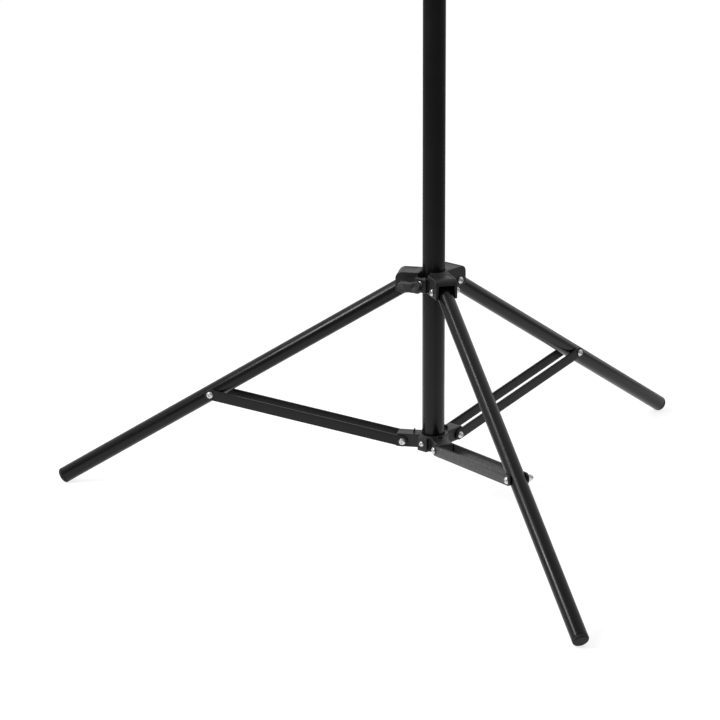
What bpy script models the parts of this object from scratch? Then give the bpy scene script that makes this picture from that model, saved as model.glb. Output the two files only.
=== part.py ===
"""Light stand: a telescopic mast on three folding legs.

Metres, +Z up. The floor is Z = 0 and the origin is the middle of the stand's footprint.
Leg "front" points along -Y, "right" and "left" stand 120 degrees to either side of it.
Each arm, leg and strut is drawn in its own frame: X away from the mast (or along the leg or
strut), Y across it and Z up.
"""

import math

import bmesh
import bpy
from mathutils import Matrix, Vector

MM = 0.001

# Tubes
MAST_RADIUS = 12.5 * MM
MIDDLE_RADIUS = 11.0 * MM
TOP_RADIUS = 9.5 * MM
LEG_RADIUS = 9.0 * MM
TUBE_WALL = 1.2 * MM
BASE_TUBE_LENGTH = 600 * MM
MIDDLE_TUBE_FOOT = 98 * MM  # lower end of the middle tube above the floor, mast run down
TOP_TUBE_FOOT = 120 * MM
TOP_TUBE_SHOWN = 12 * MM  # what stands out of the upper lock collar, mast run down

# Leg linkage, measured from the mast axis and from the centre of a leg's lower end
LEG_AZIMUTHS = {"front": 270, "right": 30, "left": 150}
SCREW_HEAD_SIDE = {"front": -1, "right": -1, "left": 1}
FOOT_REACH = 432.1 * MM
LEG_PIVOT_REACH = 30.3 * MM
LEG_PIVOT_RISE = 253.9 * MM
STRUT_PIVOT_ALONG_LEG = 264 * MM
COLLAR_PIVOT_REACH = 33.4 * MM
COLLAR_PIVOT_RISE = 71.2 * MM

# Fits
GAP = 0.3 * MM  # between pieces that touch
SCREW_RADIUS = 2.0 * MM
SCREW_HOLE = SCREW_RADIUS + GAP
STUD_RADIUS = 3.0 * MM
STUD_HOLE = STUD_RADIUS + GAP

# Screws and nuts
HEAD_RADIUS = 3.9 * MM
HEAD_HEIGHT = 2.6 * MM
HEAD_STEPS = ((1, 0), (1, 0.35), (0.86, 0.75), (0.55, 1))  # shares of its radius and height
SOCKET_RADIUS = 1.45 * MM
SOCKET_DEPTH = 1.3 * MM
NUT_FLATS = 7 * MM
NUT_HEIGHT = 3.2 * MM
NUT_COLLAR_RADIUS = 3.1 * MM
NUT_COLLAR_HEIGHT = 1.6 * MM
NUT_COLLAR_ROUNDING = 0.6 * MM
THREAD_SHOWN = 1.3 * MM
STUD_NUT_FLATS = 10 * MM
STUD_NUT_HEIGHT = 5 * MM
STUD_POINT = 0.7 * MM

# Strut bars
BAR_WIDTH = 12 * MM
BAR_THICKNESS = 2 * MM
BAR_INNER_FACE = LEG_RADIUS + GAP

# Leg spider, heights from the leg pivots
ARM_HALF_WIDTH = 12.7 * MM
ARM_REACH = 40.5 * MM
ARM_BOTTOM = -5.3 * MM
ARM_TOP = 15 * MM
ARM_CORNER = 7.5 * MM
ARM_WALL = 3.4 * MM
LINTEL_BOTTOM = 9.7 * MM
SLOT_BACK = 18.2 * MM
SPIDER_HUB_RADIUS = 16.2 * MM
SPIDER_HUB_BOTTOM = -6.2 * MM
SPIDER_HUB_TOP = 16.8 * MM
PANEL_INSET = 2.1 * MM
PANEL_DEPTH = 0.7 * MM
PANEL_START = 19 * MM
PANEL_END = 33.5 * MM
MOULDING_EDGE = 0.8 * MM

# Clamp bosses, shared by the spider and the lock collars
CLAMP_AZIMUTH = 210
SPIDER_CLAMP_RISE = 5.6 * MM
BOSS_FACE = 24 * MM
BOSS_HALF_WIDTH = 8.2 * MM
BOSS_BELOW = 10.2 * MM  # below and above the clamp screw's axis
BOSS_ABOVE = 6.3 * MM
BOSS_EDGE = 1.2 * MM
POCKET_START = 15.6 * MM
KNOB_START = 28 * MM
KNOB_HUB_RADIUS = 6.3 * MM
KNOB_LOBE_RADIUS = 7 * MM
KNOB_LOBE_CENTRE = 9.6 * MM
KNOB_NECK = 11 * MM
KNOB_NECK_DRAFT = 0.6 * MM
KNOB_PLATE = 7 * MM
KNOB_EDGE = 1.1 * MM
KNOB_DISH_RADIUS = 4.9 * MM
KNOB_DISH_DEPTH = 1.4 * MM
KNOB_DISH_FLAT = 3.4 * MM  # radius at which a dish's floor turns up to its rim
STUD_IN_KNOB = 12 * MM
SPIDER_KNOB_TURN = math.radians(12)  # how far the spider's knob stands from level when tight

# Lower collar, heights from the strut pivots
LUG_HALF_WIDTH = LEG_RADIUS
LUG_REACH = 41 * MM
LUG_BOTTOM = -6.8 * MM
LUG_TOP = 8.4 * MM
LUG_CORNER = 2.5 * MM
COLLAR_HUB_RADIUS = 17 * MM
COLLAR_HUB_BOTTOM = -8.6 * MM
COLLAR_HUB_TOP = 9.2 * MM
COLLAR_HUB_ROUNDING = 1.6 * MM
COLLAR_FLOOR = 2.5 * MM
COLLAR_MOUTH = 10.2 * MM  # radius of the opening in the collar's floor
TAB_START = 20.6 * MM
TAB_THICKNESS = 1.8 * MM
TAB_HALF_WIDTH = 3.2 * MM
TAB_HEIGHT = 3.8 * MM
TAB_EDGE = 0.5 * MM
FIXING_FACE = 20.2 * MM
FIXING_HALF_WIDTH = 6.8 * MM
FIXING_BOTTOM = -8.2 * MM
FIXING_TOP = 7.8 * MM
FIXING_RISE = 0.9 * MM
FIXING_SCREW_RADIUS = 1.6 * MM
FIXING_HEAD_RADIUS = 3.1 * MM
FIXING_HEAD_HEIGHT = 1.9 * MM

# Lock collars at the tops of the base tube and the middle tube
SLEEVE_LENGTH = 24 * MM
SLEEVE_WALL = 3.4 * MM
CLAMP_LENGTH = 22 * MM
COLLARS_APART = 1 * MM
AXIS_ABOVE_LEDGE = 2 * MM + BOSS_BELOW  # from the tube's top to the clamp screw

# Plugs in the lower ends of the mast's tubes
PLUG_WALL = 1.6 * MM
PLUG_RIM = 3 * MM
SLIDING_PLUG_LENGTH = 20 * MM
BASE_PLUG_LENGTH = 16 * MM

# Leg ends
PLUG_HEAD = 2 * MM
PLUG_OVERHANG = 6.5 * MM  # plug's outer face beyond the leg pivot
PLUG_CHAMFER = 1 * MM
PLUG_LENGTH = 18 * MM
FOOT_SHOWN = 10 * MM
FOOT_EDGE = 2.5 * MM
FOOT_INSERT = 18 * MM
FOOT_FLAT = 0.5 * MM  # worn off where the foot meets the floor

# Spigot on the top tube
SPIGOT_RADIUS = 8 * MM
SPIGOT_LENGTH = 28 * MM
SPIGOT_FLANGE_RADIUS = 11 * MM
SPIGOT_FLANGE = 4 * MM
SPIGOT_TAIL = 20 * MM  # pressed into the top tube
SPIGOT_GROOVE_RADIUS = 6.6 * MM
SPIGOT_GROOVE_START = 10 * MM
SPIGOT_GROOVE = 7 * MM
SPIGOT_CHAMFER = 1 * MM
TIP_RADIUS = 3.1 * MM
TIP_LENGTH = 9 * MM
TIP_CHAMFER = 0.5 * MM

# Facets
MAST_SIDES = 28
LEG_SIDES = 24
PLUG_SIDES = 18
HUB_SIDES = 24
SPIGOT_SIDES = 16
KNOB_SIDES = 12
KNOB_OUTLINE_POINTS = 28
SCREW_SIDES = 12
CORNER_STEPS = 4
BAR_END_STEPS = 8
CUTTER_REACH = 20 * MM  # half the length of a cutter that goes right through

# Worked out from the above
LEG_RUN = FOOT_REACH - LEG_PIVOT_REACH
LEG_LENGTH = math.hypot(LEG_RUN, LEG_PIVOT_RISE)
LEG_SLOPE = math.atan2(LEG_PIVOT_RISE, LEG_RUN)
FOOT_CENTRE_HEIGHT = (
    FOOT_EDGE * (1 - math.sin(LEG_SLOPE))
    + (LEG_RADIUS - FOOT_EDGE) * math.cos(LEG_SLOPE)
    - FOOT_FLAT
)
SPIDER_HEIGHT = FOOT_CENTRE_HEIGHT + LEG_PIVOT_RISE
COLLAR_HEIGHT = FOOT_CENTRE_HEIGHT + COLLAR_PIVOT_RISE
STRUT_RUN = LEG_PIVOT_REACH + STRUT_PIVOT_ALONG_LEG * math.cos(LEG_SLOPE) - COLLAR_PIVOT_REACH
STRUT_RISE = SPIDER_HEIGHT - STRUT_PIVOT_ALONG_LEG * math.sin(LEG_SLOPE) - COLLAR_HEIGHT
STRUT_LENGTH = math.hypot(STRUT_RUN, STRUT_RISE)
STRUT_SLOPE = math.atan2(STRUT_RISE, STRUT_RUN)
BASE_TUBE_FOOT = COLLAR_HEIGHT + COLLAR_HUB_BOTTOM + COLLAR_FLOOR + GAP
BASE_TUBE_TOP = BASE_TUBE_FOOT + BASE_TUBE_LENGTH
LOWER_LOCK_TOP = BASE_TUBE_TOP + GAP + CLAMP_LENGTH
MIDDLE_TUBE_TOP = LOWER_LOCK_TOP + COLLARS_APART + SLEEVE_LENGTH
UPPER_LOCK_TOP = MIDDLE_TUBE_TOP + GAP + CLAMP_LENGTH
TOP_TUBE_TOP = UPPER_LOCK_TOP + TOP_TUBE_SHOWN


def foot_extent(angle):
    """How far a foot's rounded end reaches from the mast axis, at an angle to its leg in plan."""
    radial = math.cos(angle)
    rim = math.hypot(math.sin(LEG_SLOPE) * radial, math.sin(angle))
    end = (FOOT_REACH - FOOT_EDGE * math.cos(LEG_SLOPE)) * radial
    return end + (LEG_RADIUS - FOOT_EDGE) * rim + FOOT_EDGE


MAST_SETBACK = (foot_extent(0) - foot_extent(math.radians(60))) / 2  # mast axis from the origin


def clear_scene():
    for old in list(bpy.data.objects):
        bpy.data.objects.remove(old, do_unlink=True)


def arc(centre, radius, start, end, steps):
    """Points on an arc in a plane, angles in degrees."""
    angles = [math.radians(start + (end - start) * i / steps) for i in range(steps + 1)]
    return [(centre[0] + radius * math.cos(a), centre[1] + radius * math.sin(a)) for a in angles]


def closed_mesh(bm):
    """Merge what meets, join flat faces and turn the faces outwards."""
    bmesh.ops.remove_doubles(bm, verts=bm.verts, dist=0.001 * MM)
    bmesh.ops.dissolve_limit(bm, angle_limit=math.radians(0.5), verts=bm.verts, edges=bm.edges)
    bmesh.ops.recalc_face_normals(bm, faces=bm.faces)
    return bm


def turned(profile, sides):
    """A body turned about Z from (radius, height) points; a profile off the axis is closed on itself."""
    bm = bmesh.new()
    points = [bm.verts.new((radius, 0, height)) for radius, height in profile]
    edges = [bm.edges.new(pair) for pair in zip(points, points[1:])]
    if min(radius for radius, _ in profile) > 0:
        edges.append(bm.edges.new((points[-1], points[0])))
    bmesh.ops.spin(
        bm,
        geom=points + edges,
        cent=(0, 0, 0),
        axis=(0, 0, 1),
        angle=math.tau,
        steps=sides,
    )
    bmesh.ops.remove_doubles(bm, verts=bm.verts, dist=0.001 * MM)
    bmesh.ops.recalc_face_normals(bm, faces=bm.faces)
    return bm


def rod(radius, low, high, sides):
    return turned([(0, low), (radius, low), (radius, high), (0, high)], sides)


def tube(outer, wall, low, high, sides):
    inner = outer - wall
    return turned([(outer, low), (outer, high), (inner, high), (inner, low)], sides)


def extruded(outline, low, high):
    """A prism with an outline of (x, z) points, from y = low to y = high."""
    bm = bmesh.new()
    face = bm.faces.new([bm.verts.new((x, low, z)) for x, z in outline])
    grown = bmesh.ops.extrude_face_region(bm, geom=[face])
    moved = [part for part in grown["geom"] if isinstance(part, bmesh.types.BMVert)]
    bmesh.ops.translate(bm, vec=(0, high - low, 0), verts=moved)
    bmesh.ops.recalc_face_normals(bm, faces=bm.faces)
    return bm


def block(low, high, edge=0.0):
    """A box between two corners, its edges rounded."""
    outline = [(low[0], low[2]), (high[0], low[2]), (high[0], high[2]), (low[0], high[2])]
    bm = extruded(outline, low[1], high[1])
    if edge:
        bmesh.ops.bevel(bm, geom=bm.edges, offset=edge, segments=2, profile=0.5, affect="EDGES")
    return bm


def across(bm, side=1):
    """Lay a body turned about Z along Y, its top towards the given side."""
    bm.transform(Matrix.Rotation(-side * math.pi / 2, 4, "X"))
    return bm


def along(bm):
    """Lay a body turned about Z along X."""
    bm.transform(Matrix.Rotation(math.pi / 2, 4, "Y"))
    return bm


def shifted(bm, x=0.0, y=0.0, z=0.0):
    bm.transform(Matrix.Translation((x, y, z)))
    return bm


FINISHES = {
    "powder_coat": ((0.018, 0.018, 0.02), 0.38, 0.0),
    "moulded_nylon": ((0.03, 0.03, 0.032), 0.5, 0.0),
    "bar_paint": ((0.022, 0.022, 0.024), 0.42, 0.0),
    "zinc": ((0.72, 0.72, 0.7), 0.25, 1.0),
    "rubber": ((0.02, 0.02, 0.02), 0.8, 0.0),
    "spigot_steel": ((0.6, 0.6, 0.6), 0.3, 1.0),
}


def frame_at(name, parent, location=(0, 0, 0), turn=(0, 0, 0)):
    """An empty that carries the pieces of one frame; on a moving body it sits on the joint's axis."""
    empty = bpy.data.objects.new(name, None)
    bpy.context.scene.collection.objects.link(empty)
    empty.parent = parent
    empty.location = location
    empty.rotation_euler = turn
    return empty


def add_object(name, bm, parent):
    mesh = bpy.data.meshes.new(name)
    bm.to_mesh(mesh)
    bm.free()
    mesh.shade_smooth()
    mesh.set_sharp_from_angle(angle=math.radians(35))
    added = bpy.data.objects.new(name, mesh)
    bpy.context.scene.collection.objects.link(added)
    added.parent = parent
    return added


def add_piece(name, bm, parent, finish):
    """One sub-part of the stand, with its own material."""
    piece = add_object(name, bm, parent)
    colour, roughness, metallic = FINISHES[finish]
    material = bpy.data.materials.new(f"{name}_{finish}")
    material.use_nodes = True
    shader = material.node_tree.nodes["Principled BSDF"]
    shader.inputs["Base Color"].default_value = (*colour, 1)
    shader.inputs["Roughness"].default_value = roughness
    shader.inputs["Metallic"].default_value = metallic
    piece.data.materials.append(material)
    return piece


def add_guide(name, bm, parent):
    """A shape that only joins or cuts other pieces."""
    guide = add_object(name, bm, parent)
    guide.hide_render = True
    guide.display_type = "WIRE"
    return guide


def combine(piece, guides, operation):
    for guide in guides:
        modifier = piece.modifiers.new(guide.name, "BOOLEAN")
        modifier.operation = operation
        modifier.solver = "EXACT"
        modifier.object = guide


def soften(piece, width, segments=1):
    bevel = piece.modifiers.new("softened_edges", "BEVEL")
    bevel.width = width
    bevel.segments = segments
    bevel.limit_method = "ANGLE"
    bevel.angle_limit = math.radians(40)


def arm_frames(name, parent, reach):
    """A frame at each of the three pivots round the mast, X pointing away from it."""
    frames = {}
    for leg, azimuth in LEG_AZIMUTHS.items():
        turn = math.radians(azimuth)
        place = (reach * math.cos(turn), reach * math.sin(turn), 0)
        frames[leg] = frame_at(f"{name}_{leg}", parent, place, (0, 0, turn))
    return frames


def three_arms(half_width, reach, bottom, top, corner):
    """Three arms that meet at the mast axis, each with its upper outer edge rounded."""
    bm = bmesh.new()
    meeting = half_width / math.tan(math.radians(60))
    rounding = arc((reach - corner, top - corner), corner, 0, 90, CORNER_STEPS)
    profile = [(meeting, bottom), (reach, bottom), *rounding, (meeting, top)]
    for azimuth in LEG_AZIMUTHS.values():
        turn = Matrix.Rotation(math.radians(azimuth), 4, "Z")
        right, left = (
            [bm.verts.new(turn @ Vector((x, side * half_width, z))) for x, z in profile]
            for side in (-1, 1)
        )
        bm.faces.new(right)
        bm.faces.new(reversed(left))
        for i in range(len(profile) - 1):
            bm.faces.new((right[i], left[i], left[i + 1], right[i + 1]))
        for height, end in ((bottom, 0), (top, -1)):
            bm.faces.new((bm.verts.new((0, 0, height)), right[end], left[end]))
    return closed_mesh(bm)


def screw(length, head_radius=HEAD_RADIUS, head_height=HEAD_HEIGHT, radius=SCREW_RADIUS):
    """A button head on a shank that runs down from Z = 0."""
    profile = [
        (0, -length),
        (radius, -length),
        (radius, 0),
        *[(share * head_radius, rise * head_height) for share, rise in HEAD_STEPS],
        (SOCKET_RADIUS, head_height),
        (SOCKET_RADIUS, head_height - SOCKET_DEPTH),
        (0, head_height - SOCKET_DEPTH),
    ]
    return turned(profile, SCREW_SIDES)


def lock_nut(name, parent, place, side):
    """A hexagon nut with a nylon collar on its outer face, facing the given side of the frame."""
    flats = NUT_FLATS / 2 / math.cos(math.radians(30))
    hexagon = shifted(across(rod(flats, 0, NUT_HEIGHT, 6), side), *place)
    nut = add_piece(name, hexagon, parent, "zinc")
    top = NUT_HEIGHT + NUT_COLLAR_HEIGHT
    ring = [
        (0, NUT_HEIGHT / 2),
        (NUT_COLLAR_RADIUS, NUT_HEIGHT / 2),
        (NUT_COLLAR_RADIUS, top - NUT_COLLAR_ROUNDING),
        (NUT_COLLAR_RADIUS - NUT_COLLAR_ROUNDING, top),
        (0, top),
    ]
    collar = shifted(across(turned(ring, SCREW_SIDES), side), *place)
    bore = shifted(across(rod(SCREW_HOLE, -NUT_HEIGHT, 3 * NUT_HEIGHT, SCREW_SIDES), side), *place)
    combine(nut, [add_guide(f"{name}_collar", collar, parent)], "UNION")
    combine(nut, [add_guide(f"{name}_bore", bore, parent)], "DIFFERENCE")
    return nut


def cross_hole(name, parent, x=0.0, radius=SCREW_HOLE):
    """A cutter for a screw hole across a frame."""
    bm = across(rod(radius, -CUTTER_REACH, CUTTER_REACH, SCREW_SIDES))
    return add_guide(name, shifted(bm, x), parent)


def upright_hole(name, parent, radius, low, high, sides=HUB_SIDES):
    return add_guide(name, rod(radius, low, high, sides), parent)


def clamp_guides(name, parent, bore_radius):
    """What a clamp boss adds to a collar, and what is cut out of it: screw hole and nut pocket."""
    boss_low = (bore_radius, -BOSS_HALF_WIDTH, -BOSS_BELOW)
    boss_high = (BOSS_FACE, BOSS_HALF_WIDTH, BOSS_ABOVE)
    boss = add_guide(f"{name}_boss", block(boss_low, boss_high, BOSS_EDGE), parent)
    bore = along(rod(STUD_HOLE, 0, BOSS_FACE + MM, SCREW_SIDES))
    hole = add_guide(f"{name}_screw_hole", bore, parent)
    half = STUD_NUT_FLATS / 2 + GAP
    floor = -STUD_NUT_FLATS / 2 / math.cos(math.radians(30)) - GAP
    pocket_low = (POCKET_START, -half, floor)
    pocket_high = (POCKET_START + STUD_NUT_HEIGHT + 2 * GAP, half, 2 * BOSS_ABOVE)
    pocket = add_guide(f"{name}_nut_pocket", block(pocket_low, pocket_high), parent)
    return boss, [hole, pocket]


def add_clamp_nut(name, parent):
    """The hexagon nut that the clamp screw runs in, held in its pocket."""
    corner = STUD_NUT_FLATS / 2 / math.cos(math.radians(30))
    start = POCKET_START + GAP
    hexagon = along(rod(corner, start, start + STUD_NUT_HEIGHT, 6))
    nut = add_piece(name, hexagon, parent, "zinc")
    bore = along(rod(STUD_HOLE, 0, BOSS_FACE, SCREW_SIDES))
    combine(nut, [add_guide(f"{name}_bore", bore, parent)], "DIFFERENCE")


def knob_outline():
    """Two round lobes joined by a narrower hub, as a bow tie."""
    points = []
    for i in range(KNOB_OUTLINE_POINTS):
        angle = math.tau * i / KNOB_OUTLINE_POINTS
        reach = KNOB_LOBE_CENTRE * abs(math.cos(angle))
        under = KNOB_LOBE_RADIUS**2 - (KNOB_LOBE_CENTRE * math.sin(angle)) ** 2
        lobe = reach + math.sqrt(under) if under > 0 else 0
        radius = max(KNOB_HUB_RADIUS, lobe)
        points.append((radius * math.cos(angle), radius * math.sin(angle)))
    return points


def add_wing_knob(name, parent):
    """A moulded wing knob on the clamp screw; the frame's X is the screw's axis."""
    plate_low = KNOB_START + KNOB_NECK
    plate = extruded(knob_outline(), plate_low, plate_low + KNOB_PLATE)
    plate.transform(Matrix.Rotation(-math.pi / 2, 4, "Z"))
    knob = add_piece(name, plate, parent, "moulded_nylon")
    soften(knob, KNOB_EDGE)
    neck_radius = KNOB_HUB_RADIUS - KNOB_EDGE
    neck_profile = [
        (0, KNOB_START),
        (neck_radius, KNOB_START),
        (neck_radius + KNOB_NECK_DRAFT, plate_low + MM),
        (0, plate_low + MM),
    ]
    neck = add_guide(f"{name}_neck", along(turned(neck_profile, KNOB_SIDES)), parent)
    combine(knob, [neck], "UNION")
    cuts = []
    face = plate_low + KNOB_PLATE
    dish_profile = [
        (0, face - KNOB_DISH_DEPTH),
        (KNOB_DISH_FLAT, face - KNOB_DISH_DEPTH),
        (KNOB_DISH_RADIUS, face),
        (KNOB_DISH_RADIUS, face + MM),
        (0, face + MM),
    ]
    for side in (-1, 1):
        dish = shifted(along(turned(dish_profile, KNOB_SIDES)), y=side * KNOB_LOBE_CENTRE)
        cuts.append(add_guide(f"{name}_dish_{side}", dish, parent))
    socket = along(rod(STUD_HOLE, 0, KNOB_START + STUD_IN_KNOB + GAP, SCREW_SIDES))
    cuts.append(add_guide(f"{name}_stud_socket", socket, parent))
    combine(knob, cuts, "DIFFERENCE")


def add_stud(name, parent, tube_radius):
    """The clamp screw, from just clear of the clamped tube into its knob."""
    start = tube_radius + GAP
    end = KNOB_START + STUD_IN_KNOB
    profile = [
        (0, start),
        (STUD_RADIUS - STUD_POINT, start),
        (STUD_RADIUS, start + STUD_POINT),
        (STUD_RADIUS, end),
        (0, end),
    ]
    add_piece(name, along(turned(profile, SCREW_SIDES)), parent, "zinc")


def add_clamp_screw(name, parent, height, tube_radius, knob_turn=0.0):
    """The turning parts of a clamp: knob and stud, on a frame that lies on the screw's axis."""
    turn = (knob_turn, 0, math.radians(CLAMP_AZIMUTH))
    axis = frame_at(f"{name}_axis", parent, (0, 0, height), turn)
    add_wing_knob(f"{name}_knob", axis)
    add_stud(f"{name}_stud", axis, tube_radius)


def add_spider(spider):
    """The sliding moulding that the legs hinge in: three open-bottomed arms round a hub."""
    body = three_arms(ARM_HALF_WIDTH, ARM_REACH, ARM_BOTTOM, ARM_TOP, ARM_CORNER)
    moulding = add_piece("leg_spider", body, spider, "moulded_nylon")
    soften(moulding, MOULDING_EDGE)
    hub_profile = [
        (0, SPIDER_HUB_BOTTOM),
        (SPIDER_HUB_RADIUS - MOULDING_EDGE, SPIDER_HUB_BOTTOM),
        (SPIDER_HUB_RADIUS, SPIDER_HUB_BOTTOM + MOULDING_EDGE),
        (SPIDER_HUB_RADIUS, SPIDER_HUB_TOP - MOULDING_EDGE),
        (SPIDER_HUB_RADIUS - MOULDING_EDGE, SPIDER_HUB_TOP),
        (0, SPIDER_HUB_TOP),
    ]
    hub = add_guide("spider_hub", turned(hub_profile, HUB_SIDES), spider)
    clamp = frame_at(
        "spider_clamp", spider, (0, 0, SPIDER_CLAMP_RISE), (0, 0, math.radians(CLAMP_AZIMUTH))
    )
    boss, clamp_cuts = clamp_guides("spider", clamp, MAST_RADIUS + 2 * GAP)
    combine(moulding, [hub, boss], "UNION")

    inner_corner = ARM_CORNER - ARM_WALL
    centre = (ARM_REACH - ARM_CORNER, ARM_TOP - ARM_CORNER)
    lip = math.degrees(math.asin((LINTEL_BOTTOM - centre[1]) / inner_corner))
    below, beyond = 2 * ARM_BOTTOM, ARM_REACH + 5 * MM
    slot_outline = [
        (SLOT_BACK, below),
        (beyond, below),
        (beyond, LINTEL_BOTTOM),
        *arc(centre, inner_corner, lip, 90, CORNER_STEPS),
        (SLOT_BACK, ARM_TOP - ARM_WALL),
    ]
    panel_half = ARM_HALF_WIDTH - PANEL_INSET
    cuts = [upright_hole("spider_bore", spider, MAST_RADIUS + GAP, 2 * below, 2 * ARM_TOP)]
    slot_half = LEG_RADIUS + GAP
    for leg, azimuth in LEG_AZIMUTHS.items():
        arm = frame_at(f"spider_arm_{leg}", spider, turn=(0, 0, math.radians(azimuth)))
        slot = extruded(slot_outline, -slot_half, slot_half)
        cuts.append(add_guide(f"leg_slot_{leg}", slot, arm))
        panel_low = (PANEL_START, -panel_half, ARM_TOP - PANEL_DEPTH)
        panel = block(panel_low, (PANEL_END, panel_half, ARM_TOP + MM))
        cuts.append(add_guide(f"arm_panel_{leg}", panel, arm))
        cuts.append(cross_hole(f"leg_pivot_hole_{leg}", arm, LEG_PIVOT_REACH))
    combine(moulding, cuts + clamp_cuts, "DIFFERENCE")
    add_clamp_nut("spider_clamp_nut", clamp)


def add_pivot_fasteners(kind, frames, half_width):
    """A screw through each arm and the nut on its far side."""
    for leg, frame in frames.items():
        side = SCREW_HEAD_SIDE[leg]
        seat = half_width + GAP
        nut_out = seat + NUT_HEIGHT + NUT_COLLAR_HEIGHT
        body = shifted(across(screw(seat + nut_out + THREAD_SHOWN), side), y=side * seat)
        add_piece(f"{kind}_screw_{leg}", body, frame, "zinc")
        lock_nut(f"{kind}_nut_{leg}", frame, (0, -side * seat, 0), -side)


def add_leg(leg, pivot):
    """A tube leg with its top plug, rubber foot and the middle of the strut's screw."""
    start = PLUG_HEAD + GAP - PLUG_OVERHANG
    end = LEG_LENGTH - FOOT_SHOWN - GAP
    leg_tube = add_piece(
        f"leg_tube_{leg}",
        along(tube(LEG_RADIUS, TUBE_WALL, start, end, LEG_SIDES)),
        pivot,
        "powder_coat",
    )
    pivot_hole = cross_hole(f"leg_hole_top_{leg}", pivot)
    strut_hole = cross_hole(f"leg_hole_strut_{leg}", pivot, STRUT_PIVOT_ALONG_LEG)
    combine(leg_tube, [pivot_hole, strut_hole], "DIFFERENCE")

    bore = LEG_RADIUS - TUBE_WALL - GAP
    head = PLUG_HEAD - PLUG_OVERHANG
    plug_profile = [
        (0, -PLUG_OVERHANG),
        (LEG_RADIUS - PLUG_CHAMFER, -PLUG_OVERHANG),
        (LEG_RADIUS, PLUG_CHAMFER - PLUG_OVERHANG),
        (LEG_RADIUS, head),
        (bore, head),
        (bore, head + PLUG_LENGTH),
        (0, head + PLUG_LENGTH),
    ]
    plug = add_piece(
        f"leg_top_plug_{leg}", along(turned(plug_profile, PLUG_SIDES)), pivot, "moulded_nylon"
    )
    combine(plug, [pivot_hole], "DIFFERENCE")

    foot_start = LEG_LENGTH - FOOT_SHOWN
    edge_centre = (LEG_RADIUS - FOOT_EDGE, LEG_LENGTH - FOOT_EDGE)
    foot_profile = [
        (0, foot_start - FOOT_INSERT),
        (bore, foot_start - FOOT_INSERT),
        (bore, foot_start),
        (LEG_RADIUS, foot_start),
        *arc(edge_centre, FOOT_EDGE, 0, 90, 3),
        (0, LEG_LENGTH),
    ]
    add_piece(f"leg_foot_{leg}", along(turned(foot_profile, LEG_SIDES)), pivot, "rubber")

    shank = across(rod(SCREW_RADIUS, -LEG_RADIUS, LEG_RADIUS, SCREW_SIDES))
    add_piece(
        f"strut_screw_shank_{leg}", shifted(shank, STRUT_PIVOT_ALONG_LEG), pivot, "zinc"
    )


def add_strut(leg, pivot):
    """Two flat bars either side of the leg, with the ends of the screw that joins them to it."""
    half = BAR_WIDTH / 2
    far_end = arc((STRUT_LENGTH, 0), half, -90, 90, BAR_END_STEPS)
    outline = far_end + arc((0, 0), half, 90, 270, BAR_END_STEPS)
    holes = [
        cross_hole(f"strut_hole_collar_{leg}", pivot),
        cross_hole(f"strut_hole_leg_{leg}", pivot, STRUT_LENGTH),
    ]
    head_side = SCREW_HEAD_SIDE[leg]
    for place, side in (("head_side", head_side), ("nut_side", -head_side)):
        low = min(side * BAR_INNER_FACE, side * (BAR_INNER_FACE + BAR_THICKNESS))
        bar = extruded(outline, low, low + BAR_THICKNESS)
        piece = add_piece(f"strut_bar_{place}_{leg}", bar, pivot, "bar_paint")
        combine(piece, holes, "DIFFERENCE")

    seat = BAR_INNER_FACE + BAR_THICKNESS + GAP
    through = seat - LEG_RADIUS - GAP
    head = shifted(across(screw(through), head_side), STRUT_LENGTH, head_side * seat)
    add_piece(f"strut_screw_head_{leg}", head, pivot, "zinc")
    tip_out = seat + NUT_HEIGHT + NUT_COLLAR_HEIGHT + THREAD_SHOWN
    tip = rod(SCREW_RADIUS, LEG_RADIUS + GAP, tip_out, SCREW_SIDES)
    tip = shifted(across(tip, -head_side), STRUT_LENGTH)
    add_piece(f"strut_screw_tip_{leg}", tip, pivot, "zinc")
    lock_nut(f"strut_nut_{leg}", pivot, (STRUT_LENGTH, -head_side * seat, 0), -head_side)


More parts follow.
